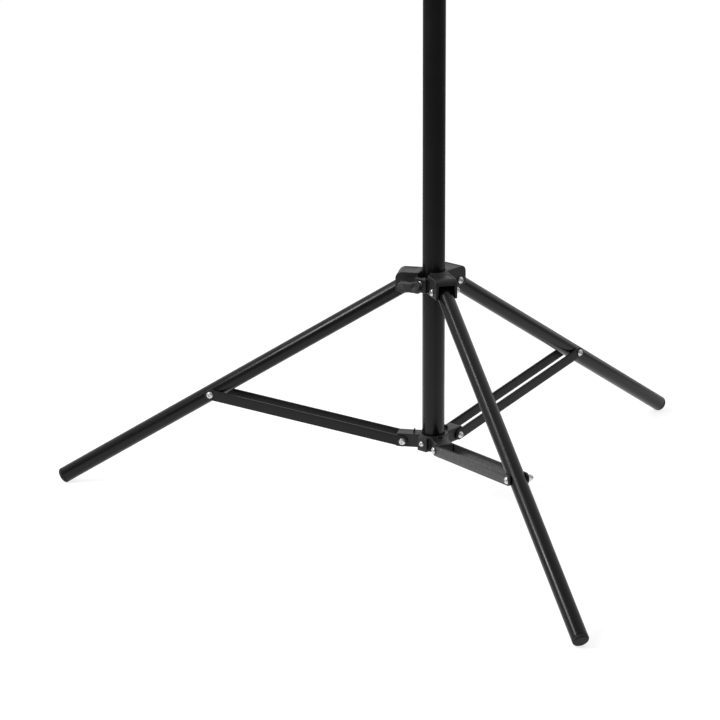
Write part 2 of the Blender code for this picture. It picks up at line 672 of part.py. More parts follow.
def add_lower_collar(collar, frames):
    """The moulding on the mast's foot: a socket with three lugs for the struts."""
    body = three_arms(LUG_HALF_WIDTH, LUG_REACH, LUG_BOTTOM, LUG_TOP, LUG_CORNER)
    moulding = add_piece("lower_collar", body, collar, "moulded_nylon")
    soften(moulding, MOULDING_EDGE)
    straight = COLLAR_HUB_RADIUS - COLLAR_HUB_ROUNDING
    hub_profile = [
        (0, COLLAR_HUB_BOTTOM),
        (straight, COLLAR_HUB_BOTTOM),
        (COLLAR_HUB_RADIUS, COLLAR_HUB_BOTTOM + COLLAR_HUB_ROUNDING),
        *arc((straight, COLLAR_HUB_TOP - COLLAR_HUB_ROUNDING), COLLAR_HUB_ROUNDING, 0, 90, 3),
        (0, COLLAR_HUB_TOP),
    ]
    added = [add_guide("collar_hub", turned(hub_profile, HUB_SIDES), collar)]
    fixing = frame_at("collar_fixing", collar, turn=(0, 0, math.radians(CLAMP_AZIMUTH)))
    boss_low = (MAST_RADIUS + MM, -FIXING_HALF_WIDTH, FIXING_BOTTOM)
    boss_high = (FIXING_FACE, FIXING_HALF_WIDTH, FIXING_TOP)
    added.append(add_guide("collar_fixing_boss", block(boss_low, boss_high, MM), fixing))
    bore_bottom = COLLAR_HUB_BOTTOM + COLLAR_FLOOR
    hole = along(rod(FIXING_SCREW_RADIUS + GAP, 0, FIXING_FACE + MM, SCREW_SIDES))
    fixing_hole = add_guide("collar_fixing_hole", shifted(hole, z=FIXING_RISE), fixing)
    cuts = [
        upright_hole("collar_bore", collar, MAST_RADIUS + GAP, bore_bottom, 2 * COLLAR_HUB_TOP),
        upright_hole("collar_mouth", collar, COLLAR_MOUTH, 2 * COLLAR_HUB_BOTTOM, 0),
        fixing_hole,
    ]
    for leg, frame in frames.items():
        tab_low = (TAB_START - COLLAR_PIVOT_REACH, -TAB_HALF_WIDTH, LUG_TOP - MM)
        tab_high = (tab_low[0] + TAB_THICKNESS, TAB_HALF_WIDTH, LUG_TOP + TAB_HEIGHT)
        tab = block(tab_low, tab_high, TAB_EDGE)
        added.append(add_guide(f"collar_tab_{leg}", tab, frame))
        cuts.append(cross_hole(f"collar_pivot_hole_{leg}", frame))
    combine(moulding, added, "UNION")
    combine(moulding, cuts, "DIFFERENCE")

    inner = MAST_RADIUS - TUBE_WALL
    length = FIXING_FACE + GAP - inner
    fixing_screw = screw(length, FIXING_HEAD_RADIUS, FIXING_HEAD_HEIGHT, FIXING_SCREW_RADIUS)
    body = shifted(along(fixing_screw), FIXING_FACE + GAP, 0, FIXING_RISE)
    add_piece("collar_fixing_screw", body, fixing, "zinc")
    return fixing_hole


def tube_plug(radius, tube_foot):
    """A cup pressed into the lower end of a sliding tube, its rim as wide as the tube."""
    bore = radius - TUBE_WALL - GAP
    low = tube_foot - PLUG_RIM
    high = low + SLIDING_PLUG_LENGTH
    profile = [
        (0, low),
        (radius, low),
        (radius, tube_foot - GAP),
        (bore, tube_foot - GAP),
        (bore, high),
        (bore - PLUG_WALL, high),
        (bore - PLUG_WALL, tube_foot),
        (0, tube_foot),
    ]
    return turned(profile, PLUG_SIDES)


def base_plug():
    """A cup inside the foot of the base tube, clear of the collar's fixing screw."""
    bore = MAST_RADIUS - TUBE_WALL - GAP
    low = BASE_TUBE_FOOT + GAP
    high = BASE_TUBE_FOOT + BASE_PLUG_LENGTH
    profile = [
        (0, low),
        (bore, low),
        (bore, high),
        (bore - PLUG_WALL, high),
        (bore - PLUG_WALL, low + PLUG_WALL),
        (0, low + PLUG_WALL),
    ]
    return turned(profile, PLUG_SIDES)


def add_lock_collar(name, parent, tube_top, outer_radius, inner_radius):
    """A collar fixed on the top of one tube, with a clamp for the tube that slides in it."""
    sleeve = outer_radius + GAP + SLEEVE_WALL
    clamp_outside = inner_radius + GAP + SLEEVE_WALL + MM
    ledge = tube_top + GAP
    low, high = tube_top - SLEEVE_LENGTH, ledge + CLAMP_LENGTH
    chamfer = MM
    profile = [
        (outer_radius + GAP, low),
        (sleeve - chamfer, low),
        (sleeve, low + chamfer),
        (sleeve, ledge),
        (clamp_outside, ledge + 2 * MM),
        (clamp_outside, high - chamfer),
        (clamp_outside - chamfer, high),
        (inner_radius + GAP, high),
        (inner_radius + GAP, ledge),
        (outer_radius + GAP, ledge),
    ]
    collar = add_piece(f"{name}_collar", turned(profile, HUB_SIDES), parent, "moulded_nylon")
    axis_height = ledge + AXIS_ABOVE_LEDGE
    clamp = frame_at(
        f"{name}_clamp", parent, (0, 0, axis_height), (0, 0, math.radians(CLAMP_AZIMUTH))
    )
    boss, cuts = clamp_guides(name, clamp, inner_radius + MM)
    combine(collar, [boss], "UNION")
    combine(collar, cuts, "DIFFERENCE")
    add_clamp_nut(f"{name}_nut", clamp)
    add_clamp_screw(name, parent, axis_height, inner_radius)


def add_mast(stand, fixing_hole):
    """The fixed base tube, its foot plug, and the two tubes that slide up out of it."""
    base = add_piece(
        "base_tube",
        tube(MAST_RADIUS, TUBE_WALL, BASE_TUBE_FOOT, BASE_TUBE_TOP, MAST_SIDES),
        stand,
        "powder_coat",
    )
    combine(base, [fixing_hole], "DIFFERENCE")
    add_piece("mast_bottom_plug", base_plug(), stand, "moulded_nylon")
    add_lock_collar("lower_lock", stand, BASE_TUBE_TOP, MAST_RADIUS, MIDDLE_RADIUS)

    middle = frame_at("middle_slide", stand)
    middle_tube = tube(MIDDLE_RADIUS, TUBE_WALL, MIDDLE_TUBE_FOOT, MIDDLE_TUBE_TOP, MAST_SIDES)
    add_piece("middle_tube", middle_tube, middle, "powder_coat")
    plug = tube_plug(MIDDLE_RADIUS, MIDDLE_TUBE_FOOT)
    add_piece("middle_tube_plug", plug, middle, "moulded_nylon")
    add_lock_collar("upper_lock", middle, MIDDLE_TUBE_TOP, MIDDLE_RADIUS, TOP_RADIUS)

    top = frame_at("top_slide", middle)
    top_tube = tube(TOP_RADIUS, TUBE_WALL, TOP_TUBE_FOOT, TOP_TUBE_TOP, MAST_SIDES)
    add_piece("top_tube", top_tube, top, "powder_coat")
    add_piece("top_tube_plug", tube_plug(TOP_RADIUS, TOP_TUBE_FOOT), top, "moulded_nylon")
    add_spigot(top)


def add_spigot(top):
    """The steel stud that a lamp fits on: a grooved cylinder with a threaded tip."""
    low = TOP_TUBE_TOP + GAP
    shank = low + SPIGOT_FLANGE
    end = shank + SPIGOT_LENGTH
    groove = shank + SPIGOT_GROOVE_START
    taper = SPIGOT_RADIUS - SPIGOT_GROOVE_RADIUS
    chamfer = SPIGOT_CHAMFER
    profile = [
        (0, low - SPIGOT_TAIL),
        (TOP_RADIUS - TUBE_WALL - GAP, low - SPIGOT_TAIL),
        (TOP_RADIUS - TUBE_WALL - GAP, low),
        (SPIGOT_FLANGE_RADIUS - chamfer, low),
        (SPIGOT_FLANGE_RADIUS, low + chamfer),
        (SPIGOT_FLANGE_RADIUS, shank - chamfer),
        (SPIGOT_FLANGE_RADIUS - chamfer, shank),
        (SPIGOT_RADIUS, shank),
        (SPIGOT_RADIUS, groove),
        (SPIGOT_GROOVE_RADIUS, groove + taper),
        (SPIGOT_GROOVE_RADIUS, groove + SPIGOT_GROOVE - taper),
        (SPIGOT_RADIUS, groove + SPIGOT_GROOVE),
        (SPIGOT_RADIUS, end - chamfer),
        (SPIGOT_RADIUS - chamfer, end),
        (TIP_RADIUS, end),
        (TIP_RADIUS, end + TIP_LENGTH - TIP_CHAMFER),
        (TIP_RADIUS - TIP_CHAMFER, end + TIP_LENGTH),
        (0, end + TIP_LENGTH),
    ]
    add_piece("top_spigot", turned(profile, SPIGOT_SIDES), top, "spigot_steel")


def cut_feet_at_floor(stand):
    """Each foot stands on a small flat, where its rubber meets the floor."""
    below = block((-1, -1, -20 * MM), (1, 1, 0))
    floor = add_guide("floor", below, stand)
    for leg in LEG_AZIMUTHS:
        combine(bpy.data.objects[f"leg_foot_{leg}"], [floor], "DIFFERENCE")


def build_stand():
    clear_scene()
    stand = frame_at("stand", None, (0, MAST_SETBACK, 0))
    collar = frame_at("collar_height", stand, (0, 0, COLLAR_HEIGHT))
    lug_frames = arm_frames("collar_pivot", collar, COLLAR_PIVOT_REACH)
    fixing_hole = add_lower_collar(collar, lug_frames)
    add_mast(stand, fixing_hole)
    add_pivot_fasteners("collar_pivot", lug_frames, BAR_INNER_FACE + BAR_THICKNESS)

    spider = frame_at("spider_slide", stand, (0, 0, SPIDER_HEIGHT))
    add_spider(spider)
    arm_pivots = arm_frames("leg_pivot", spider, LEG_PIVOT_REACH)
    add_pivot_fasteners("leg_pivot", arm_pivots, ARM_HALF_WIDTH)
    add_clamp_screw("spider", spider, SPIDER_CLAMP_RISE, MAST_RADIUS, SPIDER_KNOB_TURN)
    for leg in LEG_AZIMUTHS:
        leg_hinge = frame_at(f"leg_hinge_{leg}", arm_pivots[leg], turn=(0, LEG_SLOPE, 0))
        add_leg(leg, leg_hinge)
        strut_hinge = frame_at(f"strut_hinge_{leg}", lug_frames[leg], turn=(0, -STRUT_SLOPE, 0))
        add_strut(leg, strut_hinge)
    cut_feet_at_floor(stand)


build_stand()
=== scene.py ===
"""Light stand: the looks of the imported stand, in metres, with the floor at Z = 0.

The CAD's numbers are written in millimetres and turned into metres with MM. Each piece is drawn
in a frame of its own (the mast, an arm, a leg or a strut) and then placed in the mesh itself.
"""

import math

import bmesh
import bpy
from mathutils import Matrix, Vector


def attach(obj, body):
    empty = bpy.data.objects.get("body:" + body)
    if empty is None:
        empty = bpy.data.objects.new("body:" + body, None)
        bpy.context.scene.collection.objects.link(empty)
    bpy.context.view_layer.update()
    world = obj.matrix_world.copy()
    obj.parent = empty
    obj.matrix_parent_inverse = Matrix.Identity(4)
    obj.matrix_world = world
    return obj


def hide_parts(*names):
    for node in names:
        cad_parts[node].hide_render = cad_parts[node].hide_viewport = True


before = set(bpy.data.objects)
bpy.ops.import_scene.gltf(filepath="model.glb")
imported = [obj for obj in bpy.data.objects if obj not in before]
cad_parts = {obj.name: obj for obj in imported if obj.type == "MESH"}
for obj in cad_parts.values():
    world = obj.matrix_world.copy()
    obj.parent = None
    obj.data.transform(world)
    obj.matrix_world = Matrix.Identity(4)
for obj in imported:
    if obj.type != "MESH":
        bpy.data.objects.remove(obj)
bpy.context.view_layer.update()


# Camera: a long lens, slightly above the stand and level with its mast. Its place was fitted to
# the ends of the three legs and to the pivots in the photo.
CAMERA_LENS = 167.87
CAMERA_DISTANCE = 3.5419
CAMERA_HEIGHT = 1.345
CAMERA_PITCH = math.radians(18.327)
CAMERA_YAW = math.radians(-1.321)
CAMERA_ROLL = math.radians(0.262)
CAMERA_AZIMUTH = math.radians(-20.35)  # round the mast, from the front
MAST_SETBACK = 0.1062874  # mast axis behind the middle of the footprint

scene = bpy.context.scene
forward = Vector(
    (
        math.sin(CAMERA_YAW) * math.cos(CAMERA_PITCH),
        math.cos(CAMERA_YAW) * math.cos(CAMERA_PITCH),
        -math.sin(CAMERA_PITCH),
    )
)
level_right = forward.cross(Vector((0, 0, 1))).normalized()
level_down = forward.cross(level_right)
right = math.cos(CAMERA_ROLL) * level_right + math.sin(CAMERA_ROLL) * level_down
down = math.cos(CAMERA_ROLL) * level_down - math.sin(CAMERA_ROLL) * level_right
turn_round_mast = Matrix.Rotation(CAMERA_AZIMUTH, 3, "Z")
looking = turn_round_mast @ Matrix((right, -down, -forward)).transposed()
standing = turn_round_mast @ Vector((0, -CAMERA_DISTANCE, CAMERA_HEIGHT))
camera_data = bpy.data.cameras.new("camera")
camera_data.lens = CAMERA_LENS
camera_data.sensor_width = 36
camera_data.clip_end = 100
camera = bpy.data.objects.new("camera", camera_data)
standing += Vector((0, MAST_SETBACK, 0))
camera.matrix_world = Matrix.Translation(standing) @ looking.to_4x4()
scene.collection.objects.link(camera)
bpy.context.scene.camera = camera
scene.view_settings.view_transform = "Standard"


# Floor and light: a wide white floor, under a soft sky that is brighter behind it. The floor glows
# white to the camera, and in reflections its glow is a painted pool of light round the stand. Two
# softboxes on the camera's left draw the bright lines along the legs.
FLOOR_HALF = 30
FLOOR_WHITE = 0.5
TOP_UP = 0.74  # how much of the floor's white is its own
# The painted pool of light: in reflections the floor glows with all of TOP_UP within BRIGHT_WITHIN
# of the mast, fading to DIM_TOP_UP beyond DIM_BEYOND.
BRIGHT_WITHIN = 0.3
DIM_BEYOND = 1.0
DIM_TOP_UP = 0.04
SKY_FRONT = 0.25
SKY_BACK = 0.85
SKY_FADE = (-0.7, 0.95)  # from the front to straight behind the stand
LIT_HEIGHT = 0.2
# Each softbox: azimuth and elevation in degrees, distance, width, height and watts.
SOFTBOXES = {
    "low_softbox": (185, 33, 1.5, 0.3, 0.34, 8.5),
    "high_softbox": (163, 52.5, 2, 0.38, 0.4, 7),
}


class Wire:
    """A socket in a node tree: arithmetic adds Math nodes, and node() adds any other node."""

    def __init__(self, tree, socket=None):
        self.tree = tree
        self.socket = socket

    def node(self, kind, inputs=None, output=0, **settings):
        made = self.tree.nodes.new(kind)
        for name, value in settings.items():
            setattr(made, name, value)
        for name, value in (inputs or {}).items():
            for one in value if isinstance(value, list) else [value]:
                if isinstance(one, Wire):
                    self.tree.links.new(one.socket, made.inputs[name])
                else:
                    made.inputs[name].default_value = one
        return Wire(self.tree, made.outputs[output] if made.outputs else None)

    def into(self, socket):
        self.tree.links.new(self.socket, socket)

    def math(self, operation, first, second):
        return self.node("ShaderNodeMath", {0: first, 1: second}, operation=operation)

    def __add__(self, other):
        return self.math("ADD", self, other)

    __radd__ = __add__

    def __sub__(self, other):
        return self.math("SUBTRACT", self, other)

    def __rsub__(self, other):
        return self.math("SUBTRACT", other, self)

    def __mul__(self, other):
        return self.math("MULTIPLY", self, other)

    __rmul__ = __mul__

    def __truediv__(self, other):
        return self.math("DIVIDE", self, other)

    def fade(self, start, end, low=0.0, high=1.0):
        """Goes softly from low to high as this value goes from start to end."""
        inputs = {"Value": self, "From Min": start, "From Max": end, "To Min": low, "To Max": high}
        return self.node("ShaderNodeMapRange", inputs, interpolation_type="SMOOTHSTEP")

    def along(self, direction):
        """How far this point or direction reaches along another."""
        inputs = {0: self, 1: direction}
        return self.node("ShaderNodeVectorMath", inputs, "Value", operation="DOT_PRODUCT")


def rays(wires, kind):
    """1 for the rays of one kind, 0 for all others."""
    return wires.node("ShaderNodeLightPath", output=f"Is {kind} Ray")


finishes = {}  # the materials by name


def start_material(name, roughness, metallic=0.0, specular=0.5, colour=(0, 0, 0)):
    """A material's shader, with the values that are the same all over, and the place on it."""
    material = bpy.data.materials.new(name)
    finishes[name] = material
    material.use_nodes = True
    shader = material.node_tree.nodes["Principled BSDF"]
    shader.inputs["Base Color"].default_value = (*colour, 1)
    shader.inputs["Roughness"].default_value = roughness
    shader.inputs["Metallic"].default_value = metallic
    shader.inputs["Specular IOR Level"].default_value = specular
    return shader, Wire(material.node_tree).node("ShaderNodeTexCoord", output="Object")


behind = Vector((-math.sin(CAMERA_AZIMUTH), math.cos(CAMERA_AZIMUTH), 0))

world = bpy.data.worlds.new("soft_sky")
world.use_nodes = True
scene.world = world
sky = Wire(world.node_tree)
sky_back = sky.node("ShaderNodeTexCoord", output="Generated").along(behind).fade(*SKY_FADE)
sky_light = SKY_FRONT + sky_back * (SKY_BACK - SKY_FRONT)
sky_mirrored = rays(sky, "Glossy") + rays(sky, "Transmission")
sky_strength = sky_light + (1 - sky_light) * (rays(sky, "Camera") + sky_mirrored * sky_back)
world.node_tree.nodes["Background"].inputs["Color"].default_value = (1, 1, 1, 1)
sky_strength.into(world.node_tree.nodes["Background"].inputs["Strength"])

floor_shader, floor_place = start_material("white_floor", 1, specular=0, colour=[FLOOR_WHITE] * 3)
to_mast = {0: floor_place, 1: (0, MAST_SETBACK, 0)}
from_mast = floor_place.node("ShaderNodeVectorMath", to_mast, "Value", operation="DISTANCE")
mirrored = rays(floor_place, "Glossy") + rays(floor_place, "Transmission")
white_glow_and_painted_pool = TOP_UP * rays(floor_place, "Camera")
# Painted pool of light: to glossy and transmission rays the floor glows most near the mast and less
# further away.
white_glow_and_painted_pool += from_mast.fade(BRIGHT_WITHIN, DIM_BEYOND, TOP_UP, DIM_TOP_UP) * mirrored
floor_glow_and_painted_pool = white_glow_and_painted_pool.node("ShaderNodeCombineXYZ", dict.fromkeys("XYZ", white_glow_and_painted_pool))
floor_glow_and_painted_pool.into(floor_shader.inputs["Emission Color"])
floor_shader.inputs["Emission Strength"].default_value = 1

floor_mesh = bpy.data.meshes.new("floor")
edge = FLOOR_HALF
floor_mesh.from_pydata(
    [(-edge, -edge, 0), (edge, -edge, 0), (edge, edge, 0), (-edge, edge, 0)], [], [(0, 1, 2, 3)]
)
floor_mesh.materials.append(finishes["white_floor"])
floor = bpy.data.objects.new("floor", floor_mesh)
scene.collection.objects.link(floor)

for name, (azimuth, elevation, distance, width, height, power) in SOFTBOXES.items():
    softbox_data = bpy.data.lights.new(name, "AREA")
    softbox_data.shape = "RECTANGLE"
    softbox_data.size = width
    softbox_data.size_y = height
    softbox_data.energy = power
    softbox = bpy.data.objects.new(name, softbox_data)
    turn = Matrix.Rotation(math.radians(azimuth), 3, "Z")
    to_softbox = turn @ Matrix.Rotation(-math.radians(elevation), 3, "Y") @ Vector((1, 0, 0))
    softbox.location = Vector((0, MAST_SETBACK, LIT_HEIGHT)) + distance * to_softbox
    softbox.rotation_euler = to_softbox.to_track_quat("Z", "Y").to_euler()
    softbox.visible_camera = False
    scene.collection.objects.link(softbox)


# Base tube: the mast's fixed lower tube, 25 mm aluminium with a black powder coat. It is cut
# square, its edges are broken by hand, and the coat leaves the fine dimples of orange peel.
MM = 0.001
MAST_RADIUS = 12.5 * MM
TUBE_WALL = 1.2 * MM
TUBE_LIP = 0.35 * MM
BASE_TUBE_FOOT = 71.5594 * MM
BASE_TUBE_TOP = 671.5594 * MM
TURNED_SIDES = 96
CORNER_STEPS = 6
TOUCHING = 0.001 * MM
SHARP_ANGLE = math.radians(32)

mast_frame = Matrix.Translation((0, MAST_SETBACK, 0))


def speckle(place, cells_per_metre, detail=2.0):
    """Cloudy noise from 0 to 1, on the piece's own coordinates."""
    inputs = {"Vector": place, "Scale": cells_per_metre, "Detail": detail}
    return place.node("ShaderNodeTexNoise", inputs)


def tint(shader, share, first, second):
    """A colour between two, by a share from 0 to 1."""
    inputs = {0: share, 6: (*first, 1), 7: (*second, 1)}
    colour = share.node("ShaderNodeMix", inputs, 2, data_type="RGBA")
    colour.into(shader.inputs["Base Color"])


def relief(shader, height, depth):
    """Bumps of the given depth in metres."""
    inputs = {"Height": height, "Distance": depth, "Strength": 1.0}
    height.node("ShaderNodeBump", inputs).into(shader.inputs["Normal"])


shader, place = start_material("powder_coat", 0.26, specular=0.25)
peel = speckle(place, 620)
dust = speckle(place, 4200, 1)
haze = speckle(place, 35, 4)
tint(shader, haze, (0.003, 0.003, 0.0032), (0.006, 0.006, 0.0063))
haze.fade(0.3, 0.7, 0.23, 0.3).into(shader.inputs["Roughness"])
relief(shader, peel + 0.25 * dust, 0.005 * MM)


def rounded(corners):
    """The points of an open outline of (x, z, radius) corners, each rounded by its radius."""
    points = []
    for i, (x, z, radius) in enumerate(corners):
        here = Vector((x, z))
        if not radius:
            points.append((x, z))
            continue
        before = (Vector(corners[i - 1][:2]) - here).normalized()
        after = (Vector(corners[(i + 1) % len(corners)][:2]) - here).normalized()
        half = before.angle(after) / 2
        centre = here + (before + after).normalized() * radius / math.sin(half)
        start = here + before * radius / math.tan(half) - centre
        sweep = before.cross(after)
        turn = math.copysign(math.pi - 2 * half, -sweep)
        for step in range(CORNER_STEPS + 1):
            swung = Matrix.Rotation(turn * step / CORNER_STEPS, 2) @ start
            points.append(tuple(centre + swung))
    return points


def turned(corners, sides=TURNED_SIDES):
    """A body turned about Z from (radius, height, rounding) corners."""
    bm = bmesh.new()
    outline = rounded(corners)
    points = [bm.verts.new((radius, 0, height)) for radius, height in outline]
    edges = [bm.edges.new(pair) for pair in zip(points, points[1:])]
    if min(corner[0] for corner in corners) > 0:
        edges.append(bm.edges.new((points[-1], points[0])))
    bmesh.ops.spin(
        bm, geom=points + edges, cent=(0, 0, 0), axis=(0, 0, 1), angle=math.tau, steps=sides
    )
    bmesh.ops.remove_doubles(bm, verts=bm.verts, dist=TOUCHING)
    bmesh.ops.recalc_face_normals(bm, faces=bm.faces)
    return bm


def tube(outer, low, high):
    """A tube along Z with its cut edges broken."""
    inner = outer - TUBE_WALL
    ends = [(outer, low), (outer, high), (inner, high), (inner, low)]
    return turned([(radius, height, TUBE_LIP) for radius, height in ends])


def along_x(bm):
    """Lay a body turned about Z along X."""
    bm.transform(Matrix.Rotation(math.pi / 2, 4, "Y"))
    return bm


def in_scene(name, bm):
    """A body as an object in the scene."""
    mesh = bpy.data.meshes.new(name)
    bm.to_mesh(mesh)
    bm.free()
    made = bpy.data.objects.new(name, mesh)
    scene.collection.objects.link(made)
    return made


def dress(piece, body, nodes):
    """Smooth where it is round, on its body and in its nodes' place."""
    piece.data.shade_smooth()
    piece.data.set_sharp_from_angle(angle=SHARP_ANGLE)
    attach(piece, body)
    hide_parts(*nodes)


def add_piece(name, bm, place, finish, body, *nodes):
    """A finished piece, with its place in its mesh."""
    bm.transform(place)
    piece = in_scene(name, bm)
    piece.data.materials.append(finishes[finish])
    dress(piece, body, nodes)


base_tube = tube(MAST_RADIUS, BASE_TUBE_FOOT, BASE_TUBE_TOP)
add_piece("base_tube_coated", base_tube, mast_frame, "powder_coat", "mast", "base_tube")


# Base plug: a nylon cup pressed into the foot of the base tube. It can be seen only through the
# mouth of the lower collar.
GAP = 0.3 * MM
PLUG_WALL = 1.6 * MM
BASE_PLUG_LENGTH = 16 * MM

shader, place = start_material("moulded_nylon", 0.45, specular=0.4)
grain = speckle(place, 2300, 3)
flow = speckle(place, 60, 3)
tint(shader, flow, (0.009, 0.009, 0.0095), (0.016, 0.016, 0.0165))
(flow.fade(0.3, 0.7, 0.4, 0.48) + 0.06 * grain).into(shader.inputs["Roughness"])
relief(shader, grain, 0.05 * MM)


def solid(corners, sides=TURNED_SIDES):
    """A turned body whose ends are closed to its axis."""
    return turned([(0, corners[0][1], 0), *corners, (0, corners[-1][1], 0)], sides)


cup_radius = MAST_RADIUS - TUBE_WALL - GAP
cup_low = BASE_TUBE_FOOT + GAP
cup_high = BASE_TUBE_FOOT + BASE_PLUG_LENGTH
base_plug = solid(
    [
        (cup_radius, cup_low, 0.6 * MM),
        (cup_radius, cup_high, 0.5 * MM),
        (cup_radius - PLUG_WALL, cup_high, 0.5 * MM),
        (cup_radius - PLUG_WALL, cup_low + PLUG_WALL, MM),
    ]
)
add_piece("base_plug", base_plug, mast_frame, "moulded_nylon", "mast", "mast_bottom_plug")


# Lower collar: one black nylon moulding on the foot of the mast, a socket with three lugs that
# the strut bars hinge on, a stop tab on each lug and a boss for the screw that holds the tube.
ARM_AZIMUTHS = {"front": 270, "right": 30, "left": 150}
LEGS = tuple(ARM_AZIMUTHS)
SCREW_HEAD_SIDE = {"front": -1, "right": -1, "left": 1}
COLLAR_HEIGHT = 77.3594 * MM
COLLAR_PIVOT_REACH = 33.4 * MM
LUG_HALF_WIDTH = 9 * MM
LUG_REACH = 41 * MM
LUG_BOTTOM = -6.8 * MM
LUG_TOP = 8.4 * MM
LUG_CORNER = 2.5 * MM
COLLAR_HUB_RADIUS = 17 * MM
COLLAR_HUB_BOTTOM = -8.6 * MM
COLLAR_HUB_TOP = 9.2 * MM
COLLAR_HUB_ROUNDING = 1.6 * MM
COLLAR_FLOOR = 2.5 * MM
COLLAR_MOUTH = 10.2 * MM
TAB_START = 20.6 * MM
TAB_THICKNESS = 1.8 * MM
TAB_HALF_WIDTH = 3.2 * MM
TAB_HEIGHT = 3.8 * MM
TAB_EDGE = 0.5 * MM
CLAMP_AZIMUTH = math.radians(210)
FIXING_FACE = 20.2 * MM
FIXING_HALF_WIDTH = 6.8 * MM
FIXING_BOTTOM = -8.2 * MM
FIXING_TOP = 7.8 * MM
FIXING_RISE = 0.9 * MM
FIXING_SCREW_RADIUS = 1.6 * MM
SCREW_RADIUS = 2 * MM
MOULDING_EDGE = 0.8 * MM
MOULDING_GRID = 0.45 * MM
MOULDING_SMOOTHING = 6
BEVELLED_ANGLE = math.radians(40)
SMALL_SIDES = 48
HOLE_REACH = 20 * MM


def extruded(corners, low, high, edge=0.0):
    """A prism with a rounded outline of (x, z, radius) corners, from y = low to high."""
    bm = bmesh.new()
    face = bm.faces.new([bm.verts.new((x, low, z)) for x, z in rounded(corners)])
    grown = bmesh.ops.extrude_face_region(bm, geom=[face])
    moved = [part for part in grown["geom"] if isinstance(part, bmesh.types.BMVert)]
    bmesh.ops.translate(bm, vec=(0, high - low, 0), verts=moved)
    bmesh.ops.recalc_face_normals(bm, faces=bm.faces)
    if edge:
        sharp = [one for one in bm.edges if one.calc_face_angle(0) > BEVELLED_ANGLE]
        bmesh.ops.bevel(bm, geom=sharp, offset=edge, segments=3, profile=0.5, affect="EDGES")
    return bm


def block(low, high, edge=0.0):
    """A box between two corners, its edges rounded."""
    corners = [(low[0], low[2], 0), (high[0], low[2], 0), (high[0], high[2], 0)]
    return extruded([*corners, (low[0], high[2], 0)], low[1], high[1], edge)


def rod(radius, low, high, sides=SMALL_SIDES, edge=0.0):
    """A cylinder along Z, its edges rounded."""
    return solid([(radius, low, edge), (radius, high, edge)], sides)


def across(bm):
    """Lay a body turned about Z along Y."""
    bm.transform(Matrix.Rotation(-math.pi / 2, 4, "X"))
    return bm


def set_at(bm, azimuth=0.0, x=0.0, y=0.0, z=0.0):
    """Move a body in its arm's frame, then turn it round the mast by the arm's azimuth."""
    bm.transform(Matrix.Rotation(azimuth, 4, "Z") @ Matrix.Translation((x, y, z)))
    return bm


def arm_blank(reach, bottom, top, corner, half_width):
    """A solid arm or lug from the mast's axis, rounded at its upper outer corner."""
    corners = [(0, bottom, 0), (reach, bottom, 0), (reach, top, corner), (0, top, 0)]
    return extruded(corners, -half_width, half_width, MOULDING_EDGE)


def pivot_hole():
    """What is drilled out for a hinge's screw, along Y."""
    return across(rod(SCREW_RADIUS + GAP, -HOLE_REACH, HOLE_REACH))


def combine(blank, tool, operation, solver):
    step = blank.modifiers.new("join_or_cut", "BOOLEAN")
    step.operation = operation
    step.solver = solver
    step.object = tool


def worked(tools):
    """What the first tool's modifiers make of it; the tools themselves are thrown away."""
    bpy.context.view_layer.update()
    finished = tools[0].evaluated_get(bpy.context.evaluated_depsgraph_get())
    mesh = bpy.data.meshes.new_from_object(finished)
    bm = bmesh.new()
    bm.from_mesh(mesh)
    used = [mesh, *(tool.data for tool in tools)]
    for tool in tools:
        bpy.data.objects.remove(tool)
    for one in used:
        bpy.data.meshes.remove(one)
    return bm


def moulding(solids, cuts, grid=MOULDING_GRID):
    """Solids joined, others cut out, and the skin then remade evenly so that all edges are soft."""
    tools = [in_scene("tool", bm) for bm in solids + cuts]
    for i, tool in enumerate(tools[1:], 1):
        combine(tools[0], tool, "UNION" if i < len(solids) else "DIFFERENCE", "MANIFOLD")
    skin = tools[0].modifiers.new("even_skin", "REMESH")
    skin.mode = "VOXEL"
    skin.voxel_size = grid
    soft = tools[0].modifiers.new("soft_edges", "SMOOTH")
    soft.factor = 0.5
    soft.iterations = MOULDING_SMOOTHING
    return worked(tools)


def arm_angle(leg):
    return math.radians(ARM_AZIMUTHS[leg])


collar_hub = rod(
    COLLAR_HUB_RADIUS, COLLAR_HUB_BOTTOM, COLLAR_HUB_TOP, TURNED_SIDES, COLLAR_HUB_ROUNDING
)
fixing_boss = block(
    (MAST_RADIUS + MM, -FIXING_HALF_WIDTH, FIXING_BOTTOM),
    (FIXING_FACE, FIXING_HALF_WIDTH, FIXING_TOP),
    MM,
)
collar_solids = [collar_hub, set_at(fixing_boss, CLAMP_AZIMUTH)]
collar_cuts = [
    rod(MAST_RADIUS + GAP, COLLAR_HUB_BOTTOM + COLLAR_FLOOR, 2 * COLLAR_HUB_TOP, TURNED_SIDES),
    rod(COLLAR_MOUTH, 2 * COLLAR_HUB_BOTTOM, 0),
]
fixing_hole = along_x(rod(FIXING_SCREW_RADIUS + GAP, 0, FIXING_FACE + MM))
collar_cuts.append(set_at(fixing_hole, CLAMP_AZIMUTH, z=FIXING_RISE))
for leg in LEGS:
    lug = arm_blank(LUG_REACH, LUG_BOTTOM, LUG_TOP, LUG_CORNER, LUG_HALF_WIDTH)
    tab = block(
        (TAB_START, -TAB_HALF_WIDTH, LUG_TOP - MM),
        (TAB_START + TAB_THICKNESS, TAB_HALF_WIDTH, LUG_TOP + TAB_HEIGHT),
        TAB_EDGE,
    )
    collar_solids += [set_at(lug, arm_angle(leg)), set_at(tab, arm_angle(leg))]
    collar_cuts.append(set_at(pivot_hole(), arm_angle(leg), COLLAR_PIVOT_REACH))
collar_frame = mast_frame @ Matrix.Translation((0, 0, COLLAR_HEIGHT))
collar = moulding(collar_solids, collar_cuts)
add_piece("lower_collar_moulded", collar, collar_frame, "moulded_nylon", "mast", "lower_collar")


